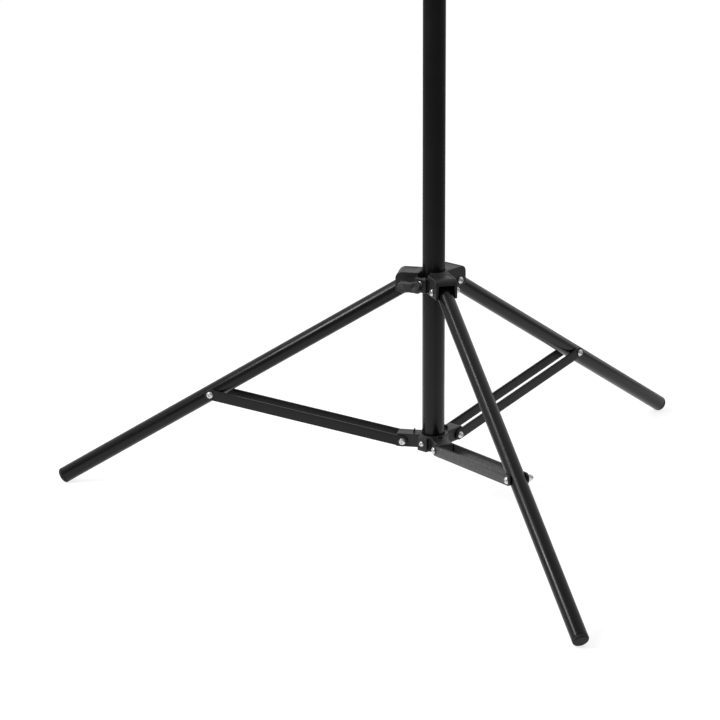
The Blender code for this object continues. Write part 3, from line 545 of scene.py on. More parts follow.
# Screws: zinc-plated steel with low button heads and hexagon sockets. Each holds a hinge, turned
# to where it happened to stop, and its rolled thread shows beyond the nut.
HEAD_RADIUS = 3.9 * MM
HEAD_HEIGHT = 2.6 * MM
SOCKET_RADIUS = 1.45 * MM
SOCKET_DEPTH = 1.3 * MM
NUT_OUT = 4.8 * MM
THREAD_SHOWN = 1.3 * MM
THREAD_PITCH = 0.7 * MM
THREADED = 4 * MM
THREAD_TIP = 0.3 * MM
THREAD_RUN = 3.4 * MM
FIXING_HEAD_RADIUS = 3.1 * MM
FIXING_HEAD_HEIGHT = 1.9 * MM
BAR_THICKNESS = 2 * MM
BAR_INNER_FACE = 9.3 * MM
BAR_SEAT = BAR_INNER_FACE + BAR_THICKNESS + GAP
SCREW_TURN = 6.28  # the most that chance turns a screw by, in radians
HINGE_SCREW = (SCREW_RADIUS, HEAD_RADIUS, HEAD_HEIGHT)
THREAD_SIZES = ("Thread radius", "Thread pitch", "Thread start", "Thread length")

shader, place = start_material("zinc", 0.25, metallic=0.8)
bloom = speckle(place, 420, 3)
grit = speckle(place, 5200, 2)
tint(shader, bloom, (0.62, 0.63, 0.65), (0.74, 0.72, 0.68))
bloom.fade(0.35, 0.7, 0.2, 0.33).into(shader.inputs["Roughness"])
relief(shader, grit, 0.01 * MM)


def with_thread(part, given):
    """A part with a rolled thread round it, by the thread sizes that its node tree is given."""
    pitch = given["Thread pitch"]
    length = given["Thread length"]
    circle = {"Resolution": 4, "Radius": 0.5 * pitch}
    ridge = part.node("GeometryNodeCurvePrimitiveCircle", circle, mode="RADIUS")
    root = given["Thread radius"] - 0.5 * pitch
    spiral = {
        "Resolution": 20,
        "Rotations": length / pitch,
        "Start Radius": root,
        "End Radius": root,
        "Height": length,
    }
    helix = part.node("GeometryNodeCurveSpiral", spiral)
    level = part.node("GeometryNodeSetCurveNormal", {"Curve": helix})
    swept = {"Curve": level, "Profile Curve": ridge, "Fill Caps": True}
    thread = part.node("GeometryNodeCurveToMesh", swept)
    rise = part.node("ShaderNodeCombineXYZ", {"Z": given["Thread start"]})
    raised = part.node("GeometryNodeTransform", {"Geometry": thread, "Translation": rise})
    return part.node("GeometryNodeJoinGeometry", {"Geometry": [part, raised]})


def build_copies_tree(name, most_turn, *sizes):
    """Copies of a part at points that carry an "axis", threaded or scaled, turned by chance."""
    tree = bpy.data.node_groups.new(name, "GeometryNodeTree")
    kinds = {"Places": "Geometry", "Part": "Object", "Finish": "Material", "Seed": "Int"}
    kinds.update(dict.fromkeys(sizes, "Float"))
    for socket, kind in kinds.items():
        tree.interface.new_socket(socket, in_out="INPUT", socket_type=f"NodeSocket{kind}")
    tree.interface.new_socket("Copies", in_out="OUTPUT", socket_type="NodeSocketGeometry")
    group = tree.nodes.new("NodeGroupInput")
    given = {socket: Wire(tree, group.outputs[socket]) for socket in kinds}
    wires = Wire(tree)
    part = wires.node("GeometryNodeObjectInfo", {"Object": given["Part"]}, "Geometry")
    copied = {"Points": given["Places"], "Instance": part}
    if "Across flats" in given:
        copied["Scale"] = given["Across flats"]
    else:
        copied["Instance"] = with_thread(part, given)
    named = {"Name": "axis"}
    axis = wires.node("GeometryNodeInputNamedAttribute", named, data_type="FLOAT_VECTOR")
    aimed = wires.node("FunctionNodeAlignRotationToVector", {"Vector": axis}, axis="Z")
    copied["Rotation"] = aimed
    set_in = wires.node("GeometryNodeInstanceOnPoints", copied)
    turns = {"Max": most_turn, "Seed": given["Seed"]}
    chance = wires.node("FunctionNodeRandomValue", turns, 1)
    spin = wires.node("ShaderNodeCombineXYZ", {"Z": chance})
    spun = wires.node("GeometryNodeRotateInstances", {"Instances": set_in, "Rotation": spin})
    real = wires.node("GeometryNodeRealizeInstances", {"Geometry": spun})
    coat = {"Geometry": real, "Material": given["Finish"]}
    coated = wires.node("GeometryNodeSetMaterial", coat)
    wires.node("NodeGroupOutput", {"Copies": coated})
    return tree


screw_tree = build_copies_tree("threaded_screws", SCREW_TURN, *THREAD_SIZES)


def thread_sizes(radius, start, length, pitch=THREAD_PITCH):
    """What the screws' node tree is told of a thread."""
    return dict(zip(THREAD_SIZES, (radius, pitch, start, length)))


def set_copies(name, tree, part, places, finish, body, nodes, seed, sizes):
    """Copies of a small part, by a node tree, at (point, axis) places on one body."""
    mesh = bpy.data.meshes.new(name)
    mesh.from_pydata([point for point, _ in places], [], [])
    axes = mesh.attributes.new("axis", "FLOAT_VECTOR", "POINT")
    axes.data.foreach_set("vector", [value for _, axis in places for value in axis])
    piece = bpy.data.objects.new(name, mesh)
    scene.collection.objects.link(piece)
    maker = piece.modifiers.new("copies", "NODES")
    maker.node_group = tree
    given = {"Part": part, "Finish": finishes[finish], "Seed": seed, **sizes}
    for socket in tree.interface.items_tree:
        if socket.name in given:
            maker[socket.identifier] = given[socket.name]
    bpy.context.view_layer.update()
    finished = piece.evaluated_get(bpy.context.evaluated_depsgraph_get())
    piece.data = bpy.data.meshes.new_from_object(finished)
    piece.modifiers.remove(maker)
    bpy.data.meshes.remove(mesh)
    dress(piece, body, nodes)


patterns = []


def as_pattern(name, bm):
    """A body to be copied; it is taken out of the scene at the end."""
    patterns.append(in_scene(name, bm))
    return patterns[-1]


def cut_out(bm, cutter):
    """One body cut out of another."""
    tools = [in_scene("tool", bm), in_scene("tool", cutter)]
    combine(*tools, "DIFFERENCE", "EXACT")
    return worked(tools)


def screw_pattern(name, length, size=HINGE_SCREW, threaded=THREADED, pitch=THREAD_PITCH):
    """A button-head screw whose shank runs down from Z = 0 to a thread's core at its tip."""
    radius, head_radius, head_height = size
    core = radius - 0.5 * pitch
    corners = [
        (core, -length, 0.25 * MM),
        (core, -length + threaded, 0),
        (radius, -length + threaded, 0),
        (radius, 0, 0),
        (head_radius, 0, 0.15 * MM),
        (head_radius, 0.3 * head_height, 0.5 * MM),
        (0.78 * head_radius, 0.82 * head_height, 1.2 * MM),
        (0.5 * head_radius, head_height, 0.6 * MM),
    ]
    corner = SOCKET_RADIUS * head_radius / HEAD_RADIUS
    socket = rod(corner, head_height - SOCKET_DEPTH, head_height + MM, 6)
    return as_pattern(name, cut_out(solid(corners, SMALL_SIDES), socket))


def pivots(reach, height, out, facing):
    """Where the screws through three arms sit: (point, axis) on the head's or the nut's side."""
    places = []
    for leg in LEGS:
        side = facing * SCREW_HEAD_SIDE[leg]
        turn = mast_frame @ Matrix.Rotation(arm_angle(leg), 4, "Z")
        point = turn @ Vector((reach, side * out, height))
        places.append((point, turn.to_3x3() @ Vector((0, side, 0))))
    return places


def hinge_screws(hinge, body, reach, height, seat, seed):
    """The screws through three arms, each from its head's seat to beyond its nut."""
    length = 2 * seat + NUT_OUT + THREAD_SHOWN
    pattern = screw_pattern(hinge, length)
    places = pivots(reach, height, seat, 1)
    nodes = [f"{hinge}_screw_{leg}" for leg in LEGS]
    sizes = thread_sizes(SCREW_RADIUS, THREAD_TIP - length, THREAD_RUN)
    set_copies(f"{hinge}_screws", screw_tree, pattern, places, "zinc", body, nodes, seed, sizes)


collar_hinges = ("collar_pivot", "mast", COLLAR_PIVOT_REACH, COLLAR_HEIGHT, BAR_SEAT)
hinge_screws(*collar_hinges, 4)

clamp_turn = mast_frame @ Matrix.Rotation(CLAMP_AZIMUTH, 4, "Z")
clamp_axis = clamp_turn.to_3x3() @ Vector((1, 0, 0))
fixing_point = clamp_turn @ Vector((FIXING_FACE + GAP, 0, COLLAR_HEIGHT + FIXING_RISE))
fixing_length = FIXING_FACE + GAP - MAST_RADIUS + TUBE_WALL
fixing_size = (FIXING_SCREW_RADIUS, FIXING_HEAD_RADIUS, FIXING_HEAD_HEIGHT)
set_copies(
    "collar_tube_screw",
    screw_tree,
    screw_pattern("fixing_screw", fixing_length, fixing_size),
    [(fixing_point, clamp_axis)],
    "zinc",
    "mast",
    ["collar_fixing_screw"],
    2,
    thread_sizes(FIXING_SCREW_RADIUS, THREAD_TIP - fixing_length, THREAD_RUN),
)


# Lock nuts: zinc-plated hexagon nuts whose rolled collar holds a nylon ring, so that a hinge can
# be set loose enough to turn and still not work itself undone.
NUT_FLATS = 7 * MM
NUT_HEIGHT = 3.2 * MM
NUT_COLLAR_RADIUS = 3.1 * MM
NUT_CHAMFER = 0.45 * MM
NUT_TURN = 0.5  # the most that chance turns a nut by, in radians
HEXAGON_CORNER = 0.5 / math.cos(math.radians(30))

nut_tree = build_copies_tree("nuts", NUT_TURN, "Across flats")


def bored_hexagon(bore, thickness, outline):
    """A hexagon one unit across its flats, its corners cut back to a turned outline."""
    hexagon = rod(HEXAGON_CORNER, 0, thickness, 6)
    outside = [(2, -1, 0), (2, 2, 0)]
    outside += [(HEXAGON_CORNER + beyond, height, 0) for beyond, height in outline]
    return cut_out(cut_out(hexagon, turned(outside, SMALL_SIDES)), rod(bore, -1, 2))


def lock_nut_pattern(bore):
    """A nut one unit across its flats, chamfered at its corners, with its rolled collar."""
    high = NUT_HEIGHT / NUT_FLATS
    top = NUT_OUT / NUT_FLATS
    ring = NUT_COLLAR_RADIUS / NUT_FLATS
    chamfer = NUT_CHAMFER / NUT_FLATS
    outline = [
        (-1.5 * chamfer - 0.7, 1.7 * high),
        (-1.5 * chamfer, high),
        (0.02, high - chamfer),
        (0.02, 0.6 * chamfer),
        (-chamfer, 0),
        (-chamfer - 0.5, -0.3),
    ]
    rolled_corners = [
        (bore, 0.02, 0),
        (ring, 0.02, 0),
        (ring, top, 0.09),
        (bore + 0.1, top, 0.03),
        (bore + 0.06, top - 0.08, 0.02),
        (bore, top - 0.1, 0.02),
    ]
    rolled = turned(rolled_corners, SMALL_SIDES)
    rolled_mesh = bpy.data.meshes.new("tool")
    rolled.to_mesh(rolled_mesh)
    rolled.free()
    nut = bored_hexagon(bore, high, outline)
    nut.from_mesh(rolled_mesh)
    bpy.data.meshes.remove(rolled_mesh)
    return nut


lock_nut = as_pattern("lock_nut", lock_nut_pattern(SCREW_RADIUS / NUT_FLATS))
nut_size = {"Across flats": NUT_FLATS}


def hinge_nuts(hinge, body, reach, height, seat, seed):
    """The lock nuts on the screws of three arms."""
    places = pivots(reach, height, seat, -1)
    nodes = [f"{hinge}_nut_{leg}" for leg in LEGS]
    set_copies(f"{hinge}_nuts", nut_tree, lock_nut, places, "zinc", body, nodes, seed, nut_size)


hinge_nuts(*collar_hinges, 7)


# Leg spider: one black nylon moulding that slides on the mast. Each of its three arms is open
# below and outwards for a leg to swing in. Its boss holds the nut of the clamp screw in a pocket
# that is open at the top.
SPIDER_HEIGHT = 260.0594 * MM
LEG_RADIUS = 9 * MM
LEG_PIVOT_REACH = 30.3 * MM
ARM_HALF_WIDTH = 12.7 * MM
ARM_REACH = 41 * MM
ARM_BOTTOM = -6.3 * MM
ARM_TOP = 15.6 * MM
ARM_CORNER = 7.5 * MM
ARM_WALL = 3.4 * MM
ARM_WALL_DRAFT = 0.4 * MM
LINTEL_BOTTOM = 9 * MM
SLOT_BACK = 18.2 * MM
SLOT_END = 46 * MM
SPIDER_HUB_RADIUS = 16.2 * MM
SPIDER_HUB_BOTTOM = -6.2 * MM
SPIDER_HUB_TOP = 16.8 * MM
RECESS_START = 12 * MM
RECESS_HALF = 6.8 * MM
RECESS_BOTTOM = 9.5 * MM
PANEL_INSET = 2.1 * MM
PANEL_DEPTH = 0.7 * MM
PANEL_START = 19 * MM
PANEL_END = 33.5 * MM
SPIDER_CLAMP_RISE = 5.6 * MM
BOSS_FACE = 24 * MM
BOSS_HALF_WIDTH = 8.2 * MM
BOSS_BELOW = 10.2 * MM
BOSS_ABOVE = 6.3 * MM
BOSS_EDGE = 1.2 * MM
STUD_RADIUS = 3 * MM
STUD_NUT_FLATS = 10 * MM
STUD_NUT_HEIGHT = 5 * MM
POCKET_START = 15.6 * MM
POCKET_END = POCKET_START + STUD_NUT_HEIGHT + 2 * GAP


def clamp_boss(bore, height):
    """A boss on the clamp's side, and what is cut out of it: the screw's hole and nut pocket."""
    boss = block(
        (bore, -BOSS_HALF_WIDTH, height - BOSS_BELOW),
        (BOSS_FACE, BOSS_HALF_WIDTH, height + BOSS_ABOVE),
        BOSS_EDGE,
    )
    hole = along_x(rod(STUD_RADIUS + GAP, 0, BOSS_FACE + MM))
    half = STUD_NUT_FLATS / 2 + GAP
    corner = STUD_NUT_FLATS * HEXAGON_CORNER + GAP
    pocket = block(
        (POCKET_START, -half, height - corner), (POCKET_END, half, height + 2 * BOSS_ABOVE)
    )
    cuts = [set_at(hole, CLAMP_AZIMUTH, z=height), set_at(pocket, CLAMP_AZIMUTH)]
    return set_at(boss, CLAMP_AZIMUTH), cuts


spider_hub = rod(
    SPIDER_HUB_RADIUS, SPIDER_HUB_BOTTOM, SPIDER_HUB_TOP, TURNED_SIDES, MOULDING_EDGE
)
spider_boss, spider_cuts = clamp_boss(MAST_RADIUS + 2 * GAP, SPIDER_CLAMP_RISE)
spider_solids = [spider_hub, spider_boss]
spider_cuts.append(rod(MAST_RADIUS + GAP, 2 * ARM_BOTTOM, 2 * ARM_TOP, TURNED_SIDES))
recess = block(
    (RECESS_START, -RECESS_HALF, RECESS_BOTTOM), (POCKET_END, RECESS_HALF, 2 * SPIDER_HUB_TOP)
)
spider_cuts.append(set_at(recess, CLAMP_AZIMUTH))
slot_corners = [
    (SLOT_BACK, 2 * ARM_BOTTOM, 0),
    (SLOT_END, 2 * ARM_BOTTOM, 0),
    (SLOT_END, LINTEL_BOTTOM, 0),
    (ARM_REACH - ARM_WALL, LINTEL_BOTTOM, 0),
    (ARM_REACH - ARM_WALL - ARM_WALL_DRAFT, ARM_TOP - ARM_WALL, 1.8 * MM),
    (SLOT_BACK, ARM_TOP - ARM_WALL, 0.8 * MM),
]
slot_half = LEG_RADIUS + GAP
panel_half = ARM_HALF_WIDTH - PANEL_INSET
for leg in LEGS:
    arm = arm_blank(ARM_REACH, ARM_BOTTOM, ARM_TOP, ARM_CORNER, ARM_HALF_WIDTH)
    spider_solids.append(set_at(arm, arm_angle(leg)))
    slot = extruded(slot_corners, -slot_half, slot_half)
    panel = block(
        (PANEL_START, -panel_half, ARM_TOP - PANEL_DEPTH), (PANEL_END, panel_half, ARM_TOP + MM)
    )
    spider_cuts += [set_at(slot, arm_angle(leg)), set_at(panel, arm_angle(leg))]
    spider_cuts.append(set_at(pivot_hole(), arm_angle(leg), LEG_PIVOT_REACH))
spider_frame = mast_frame @ Matrix.Translation((0, 0, SPIDER_HEIGHT))
spider = moulding(spider_solids, spider_cuts)
add_piece("leg_spider_moulded", spider, spider_frame, "moulded_nylon", "spider", "leg_spider")

spider_hinges = ("leg_pivot", "spider", LEG_PIVOT_REACH, SPIDER_HEIGHT, ARM_HALF_WIDTH + GAP)
hinge_screws(*spider_hinges, 11)
hinge_nuts(*spider_hinges, 5)


# Clamp nuts: a plain zinc-plated hexagon nut lies in the pocket of each clamp boss. The pocket's
# walls keep it from turning, and its open top lets the nut be changed.
SPIDER_CLAMP_HEIGHT = SPIDER_HEIGHT + SPIDER_CLAMP_RISE
LOWER_CLAMP_HEIGHT = 684.0594 * MM
UPPER_CLAMP_HEIGHT = 731.3594 * MM
# Each clamp: its nut's body, its height and its nut's node.
CLAMPS = {
    "spider": ("spider", SPIDER_CLAMP_HEIGHT, "spider_clamp_nut"),
    "lower_lock": ("mast", LOWER_CLAMP_HEIGHT, "lower_lock_nut"),
    "upper_lock": ("middle_riser", UPPER_CLAMP_HEIGHT, "upper_lock_nut"),
}


def plain_nut_pattern(bore, thickness):
    """A nut one unit across its flats, with both faces chamfered at the corners."""
    outline = [
        (-0.8, thickness + 0.4),
        (-0.06, thickness),
        (0.01, thickness - 0.05),
        (0.01, 0.05),
        (-0.06, 0),
        (-0.8, -0.4),
    ]
    return bored_hexagon(bore, thickness, outline)


clamp_nut_body = plain_nut_pattern(STUD_RADIUS / STUD_NUT_FLATS, STUD_NUT_HEIGHT / STUD_NUT_FLATS)
clamp_nut = as_pattern("clamp_nut", clamp_nut_body)
for clamp, (body, height, node) in CLAMPS.items():
    set_copies(
        f"{clamp}_hexagon_nut",
        nut_tree,
        clamp_nut,
        [(clamp_turn @ Vector((POCKET_START + GAP, 0, height)), clamp_axis)],
        "zinc",
        body,
        [node],
        0,
        {"Across flats": STUD_NUT_FLATS},
    )


# Clamp screws: a wing knob of black nylon moulded round the end of a zinc-plated stud. Turning it
# presses the stud's end on the tube inside the collar.
KNOB_START = 28 * MM
KNOB_WAIST = 5.2 * MM
KNOB_LOBE_RADIUS = 6.3 * MM
KNOB_LOBE_CENTRE = 9.8 * MM
KNOB_NECK_RADIUS = 4.4 * MM
KNOB_NECK_DRAFT = 0.4 * MM
KNOB_NECK = 9.6 * MM
KNOB_PLATE = 7.2 * MM
KNOB_EDGE = 1.4 * MM
KNOB_DISH_RADIUS = 5.6 * MM
KNOB_DISH_DEPTH = 1.4 * MM
KNOB_DISH_FLAT = 1.6 * MM
KNOB_OUTLINE_STEPS = 24
KNOB_GRID = 0.35 * MM
KNOB_TWIST = math.radians(24)
KNOB_TWIST_START = 2 * MM
KNOB_TWIST_END = 11 * MM
STUD_IN_KNOB = 12 * MM
STUD_POINT = 0.7 * MM
STUD_PITCH = 1 * MM
THREAD_IN_KNOB = 2 * MM
MIDDLE_RADIUS = 11 * MM
TOP_RADIUS = 9.5 * MM
SPIDER_KNOB_TURN = math.radians(8)
# Each clamp's screw: its body, its height, the radius of the clamped tube and the knob's turn.
CLAMP_SCREWS = {
    "spider": ("spider_clamp_screw", SPIDER_CLAMP_HEIGHT, MAST_RADIUS, SPIDER_KNOB_TURN),
    "lower_lock": ("lower_clamp_screw", LOWER_CLAMP_HEIGHT, MIDDLE_RADIUS, 0),
    "upper_lock": ("upper_clamp_screw", UPPER_CLAMP_HEIGHT, TOP_RADIUS, 0),
}


def knob_outline():
    """Two round lobes joined by a narrower waist."""
    corners = []
    for side in (1, -1):
        for step in range(KNOB_OUTLINE_STEPS):
            along = 1 - 2 * step / KNOB_OUTLINE_STEPS
            swell = abs(along) ** 1.5 * (KNOB_LOBE_RADIUS - KNOB_WAIST)
            corners.append((side * along * KNOB_LOBE_CENTRE, side * (KNOB_WAIST + swell), 0))
        for step in range(KNOB_OUTLINE_STEPS):
            angle = math.pi * (0.5 + step / KNOB_OUTLINE_STEPS)
            out = KNOB_LOBE_CENTRE - KNOB_LOBE_RADIUS * math.cos(angle)
            corners.append((-side * out, side * KNOB_LOBE_RADIUS * math.sin(angle), 0))
    return corners


def wing_knob():
    """The knob in its screw's frame: X runs along the screw, away from the mast.

    Its wings are twisted like a propeller's, so that thumb and finger push flat on them.
    """
    plate_low = KNOB_START + KNOB_NECK
    face = plate_low + KNOB_PLATE
    plate = extruded(knob_outline(), plate_low, face, KNOB_EDGE)
    plate.transform(Matrix.Rotation(-math.pi / 2, 4, "Z"))
    neck_corners = [
        (KNOB_NECK_RADIUS, KNOB_START, 0.6 * MM),
        (KNOB_NECK_RADIUS + KNOB_NECK_DRAFT, plate_low + MM, 0),
    ]
    dish_corners = [
        (KNOB_DISH_FLAT, face - KNOB_DISH_DEPTH, 2 * MM),
        (KNOB_DISH_RADIUS, face, 0),
        (KNOB_DISH_RADIUS, face + MM, 0),
    ]
    cuts = [along_x(rod(STUD_RADIUS, 0, KNOB_START + STUD_IN_KNOB))]
    for side in (-1, 1):
        cuts.append(set_at(along_x(solid(dish_corners)), y=side * KNOB_LOBE_CENTRE))
    knob = moulding([plate, along_x(solid(neck_corners))], cuts, KNOB_GRID)
    middle = Vector((plate_low + KNOB_PLATE / 2, 0, 0))
    for vert in knob.verts:
        share = (abs(vert.co.y) - KNOB_TWIST_START) / (KNOB_TWIST_END - KNOB_TWIST_START)
        share = min(max(share, 0), 1)
        share = share * share * (3 - 2 * share)
        twist = Matrix.Rotation(math.copysign(share * KNOB_TWIST, -vert.co.y), 3, "Y")
        vert.co = middle + twist @ (vert.co - middle)
    return knob


for clamp, (body, height, tube_radius, knob_turn) in CLAMP_SCREWS.items():
    lifted = clamp_turn @ Matrix.Translation((0, 0, height))
    knob_frame = lifted @ Matrix.Rotation(knob_turn, 4, "X")
    knob = wing_knob()
    add_piece(f"{clamp}_wing_knob", knob, knob_frame, "moulded_nylon", body, f"{clamp}_knob")
    start = tube_radius + GAP
    end = KNOB_START + STUD_IN_KNOB
    core = STUD_RADIUS - 0.5 * STUD_PITCH
    stud = solid([(core, start, 0.3 * MM), (core, end, 0)], SMALL_SIDES)
    thread_start = start + STUD_POINT
    thread_length = KNOB_START + THREAD_IN_KNOB - thread_start
    set_copies(
        f"{clamp}_threaded_stud",
        screw_tree,
        as_pattern(f"{clamp}_plain_stud", stud),
        [(clamp_turn @ Vector((0, 0, height)), clamp_axis)],
        "zinc",
        body,
        [f"{clamp}_stud"],
        0,
        thread_sizes(STUD_RADIUS, thread_start, thread_length, STUD_PITCH),
    )


# Legs: 18 mm aluminium tubes in the same black powder coat as the mast. Each has a nylon plug in
# its hinged end and the middle of the strut's screw through it.
LEG_LENGTH = 475.2983 * MM
LEG_SLOPE = 0.5635503
STRUT_PIVOT_ALONG_LEG = 264 * MM
SHANK_SIDES = 32
SHANK_EDGE = 0.1 * MM
FOOT_SHOWN = 4 * MM
PLUG_HEAD = 2 * MM
PLUG_OVERHANG = 6.5 * MM
PLUG_CHAMFER = 1 * MM
PLUG_LENGTH = 18 * MM
PLUG_DIMPLE = 0.5 * MM


def hinged(base, leg, reach, slope):
    """The frame of a leg or strut, in which X runs along it from its hinge."""
    return (
        base
        @ Matrix.Rotation(arm_angle(leg), 4, "Z")
        @ Matrix.Translation((reach, 0, 0))
        @ Matrix.Rotation(slope, 4, "Y")
    )


leg_bore = LEG_RADIUS - TUBE_WALL - GAP
head = PLUG_HEAD - PLUG_OVERHANG
leg_plug_corners = [
    (3.5 * MM, PLUG_DIMPLE - PLUG_OVERHANG, 0.4 * MM),
    (4.2 * MM, -PLUG_OVERHANG, 0.3 * MM),
    (LEG_RADIUS, -PLUG_OVERHANG, PLUG_CHAMFER),
    (LEG_RADIUS, head, 0.2 * MM),
    (leg_bore, head, 0),
    (leg_bore, head + PLUG_LENGTH, 0.8 * MM),
]
leg_frames = {leg: hinged(spider_frame, leg, LEG_PIVOT_REACH, LEG_SLOPE) for leg in LEGS}
for leg, leg_frame in leg_frames.items():
    body = f"leg_{leg}"
    leg_tube = along_x(
        tube(LEG_RADIUS, PLUG_HEAD + GAP - PLUG_OVERHANG, LEG_LENGTH - FOOT_SHOWN - GAP)
    )
    plug = along_x(solid(leg_plug_corners))
    shank = across(rod(SCREW_RADIUS, -LEG_RADIUS, LEG_RADIUS, SHANK_SIDES, SHANK_EDGE))
    shank = set_at(shank, x=STRUT_PIVOT_ALONG_LEG)
    shank_node = f"strut_screw_shank_{leg}"
    add_piece(f"leg_coated_{leg}", leg_tube, leg_frame, "powder_coat", body, f"leg_tube_{leg}")
    add_piece(f"leg_plug_{leg}", plug, leg_frame, "moulded_nylon", body, f"leg_top_plug_{leg}")
    add_piece(f"strut_shank_{leg}", shank, leg_frame, "zinc", body, shank_node)


# Feet: black rubber caps with a rounded end, pushed into the legs up to their shoulder. Where
# they stand they are worn flat, and a little floor dust greys the rubber there.
FOOT_EDGE = 2.5 * MM
FOOT_INSERT = 18 * MM
DUST_HEIGHT = 5 * MM
DUST_START = 0.5 * MM

shader, place = start_material("foot_rubber", 0.6, specular=0.35)
height = place.node("ShaderNodeSeparateXYZ", {"Vector": place}, "Z")
grain = speckle(place, 1900, 4)
patch = speckle(place, 300, 3)
dusty = height.fade(DUST_START, DUST_HEIGHT, 0.8, 0.0) * patch.fade(0.35, 0.65)
tint(shader, dusty, (0.012, 0.012, 0.012), (0.03, 0.029, 0.027))
(0.52 + 0.18 * grain + 0.1 * dusty).into(shader.inputs["Roughness"])
relief(shader, grain, 0.06 * MM)

foot_start = LEG_LENGTH - FOOT_SHOWN
foot_corners = [
    (leg_bore, foot_start - FOOT_INSERT, MM),
    (leg_bore, foot_start, 0),
    (LEG_RADIUS, foot_start, 0.4 * MM),
    (LEG_RADIUS, LEG_LENGTH, FOOT_EDGE),
]
for leg, leg_frame in leg_frames.items():
    foot = along_x(solid(foot_corners))
    foot.transform(leg_frame)
    cut = bmesh.ops.bisect_plane(
        foot,
        geom=[*foot.verts, *foot.edges, *foot.faces],
        plane_co=(0, 0, 0),
        plane_no=(0, 0, -1),
        clear_outer=True,
    )
    rim = [part for part in cut["geom_cut"] if isinstance(part, bmesh.types.BMEdge)]
    bmesh.ops.contextual_create(foot, geom=rim)
    bmesh.ops.recalc_face_normals(foot, faces=foot.faces)
    in_place = Matrix.Identity(4)
    add_piece(f"foot_{leg}", foot, in_place, "foot_rubber", f"leg_{leg}", f"leg_foot_{leg}")


# Struts: pairs of flat steel bars, stamped with round ends and holes and stove-enamelled black,
# one on each side of its lug and leg. A screw with a lock nut joins them to the leg.
STRUT_LENGTH = 223.987 * MM
STRUT_SLOPE = 0.1871442
BAR_WIDTH = 12 * MM
BAR_EDGE = 0.25 * MM
BAR_END_STEPS = 28
# The strut's screw is in three pieces: its shank rides on the leg, and its head and its tip, each
# with its own end of the thread, ride on the strut.
HEAD_THREADED = 0.5 * MM
HEAD_RELIEF = 0.2 * MM
HEAD_THREAD_TIP = 0.1 * MM
HEAD_THREAD_RUN = 0.8 * MM
HEAD_THREAD_PITCH = 0.5 * MM
TIP_THREAD_START = 0.4 * MM
TIP_UNTHREADED = 0.7 * MM

shader, place = start_material("bar_paint", 0.38, specular=0.18)
waves = speckle(place, 180, 2)
peel = speckle(place, 1100, 2)
tint(shader, waves, (0.021, 0.021, 0.0215), (0.027, 0.027, 0.0275))
waves.fade(0.3, 0.7, 0.34, 0.42).into(shader.inputs["Roughness"])
relief(shader, waves + 0.1 * peel, 0.01 * MM)


def bar(low):
    """A flat bar with round ends and a hole in each, from y = low outwards."""
    corners = []
    for centre, start in ((STRUT_LENGTH, -90), (0, 90)):
        for step in range(BAR_END_STEPS + 1):
            angle = math.radians(start + 180 * step / BAR_END_STEPS)
            out = BAR_WIDTH / 2 * math.cos(angle)
            corners.append((centre + out, BAR_WIDTH / 2 * math.sin(angle), 0))
    stamped = extruded(corners, low, low + BAR_THICKNESS, BAR_EDGE)
    for middle in (0, STRUT_LENGTH):
        stamped = cut_out(stamped, set_at(pivot_hole(), x=middle))
    return stamped


through = BAR_SEAT - LEG_RADIUS - GAP
strut_head = screw_pattern("strut_head", through, threaded=HEAD_THREADED, pitch=HEAD_RELIEF)
head_thread = thread_sizes(
    SCREW_RADIUS, HEAD_THREAD_TIP - through, HEAD_THREAD_RUN, HEAD_THREAD_PITCH
)
tip_start = LEG_RADIUS + GAP
tip_out = BAR_SEAT + NUT_OUT + THREAD_SHOWN
tip_core = SCREW_RADIUS - 0.5 * THREAD_PITCH
tip_body = solid([(tip_core, tip_start, 0), (tip_core, tip_out, 0.25 * MM)], SMALL_SIDES)
strut_tip = as_pattern("strut_tip", tip_body)
tip_thread = thread_sizes(
    SCREW_RADIUS, tip_start + TIP_THREAD_START, tip_out - tip_start - TIP_UNTHREADED
)
for leg in LEGS:
    body = f"strut_{leg}"
    strut_frame = hinged(collar_frame, leg, COLLAR_PIVOT_REACH, -STRUT_SLOPE)
    head_side = SCREW_HEAD_SIDE[leg]
    for name, side in (("head_side", head_side), ("nut_side", -head_side)):
        low = min(side * BAR_INNER_FACE, side * (BAR_INNER_FACE + BAR_THICKNESS))
        node = f"strut_bar_{name}_{leg}"
        add_piece(f"strut_painted_{name}_{leg}", bar(low), strut_frame, "bar_paint", body, node)
    middle = strut_frame @ Vector((STRUT_LENGTH, 0, 0))
    aim = head_side * (strut_frame.to_3x3() @ Vector((0, 1, 0)))
    on_head_side = [(middle + BAR_SEAT * aim, aim)]
    on_nut_side = [(middle - BAR_SEAT * aim, -aim)]
    turned_by = ARM_AZIMUTHS[leg]
    for name, node, tree, pattern, places, seed, sizes in (
        ("head", "screw_head", screw_tree, strut_head, on_head_side, turned_by, head_thread),
        ("tip", "screw_tip", screw_tree, strut_tip, [(middle, -aim)], 1, tip_thread),
        ("lock_nut", "nut", nut_tree, lock_nut, on_nut_side, turned_by, nut_size),
    ):
        nodes = [f"strut_{node}_{leg}"]
        set_copies(f"strut_{name}_{leg}", tree, pattern, places, "zinc", body, nodes, seed, sizes)


# Risers: two thinner powder-coated tubes that slide up out of the base tube, each with a nylon
# plug on its lower end that runs in the tube round it.
MIDDLE_TUBE_TOP = 718.8594 * MM
TOP_TUBE_TOP = 753.1594 * MM
PLUG_RIM = 3 * MM
SLIDING_PLUG_LENGTH = 20 * MM
# Each riser: its radius, its foot and its top.
RISERS = {
    "middle": (MIDDLE_RADIUS, 98 * MM, MIDDLE_TUBE_TOP),
    "top": (TOP_RADIUS, 120 * MM, TOP_TUBE_TOP),
}


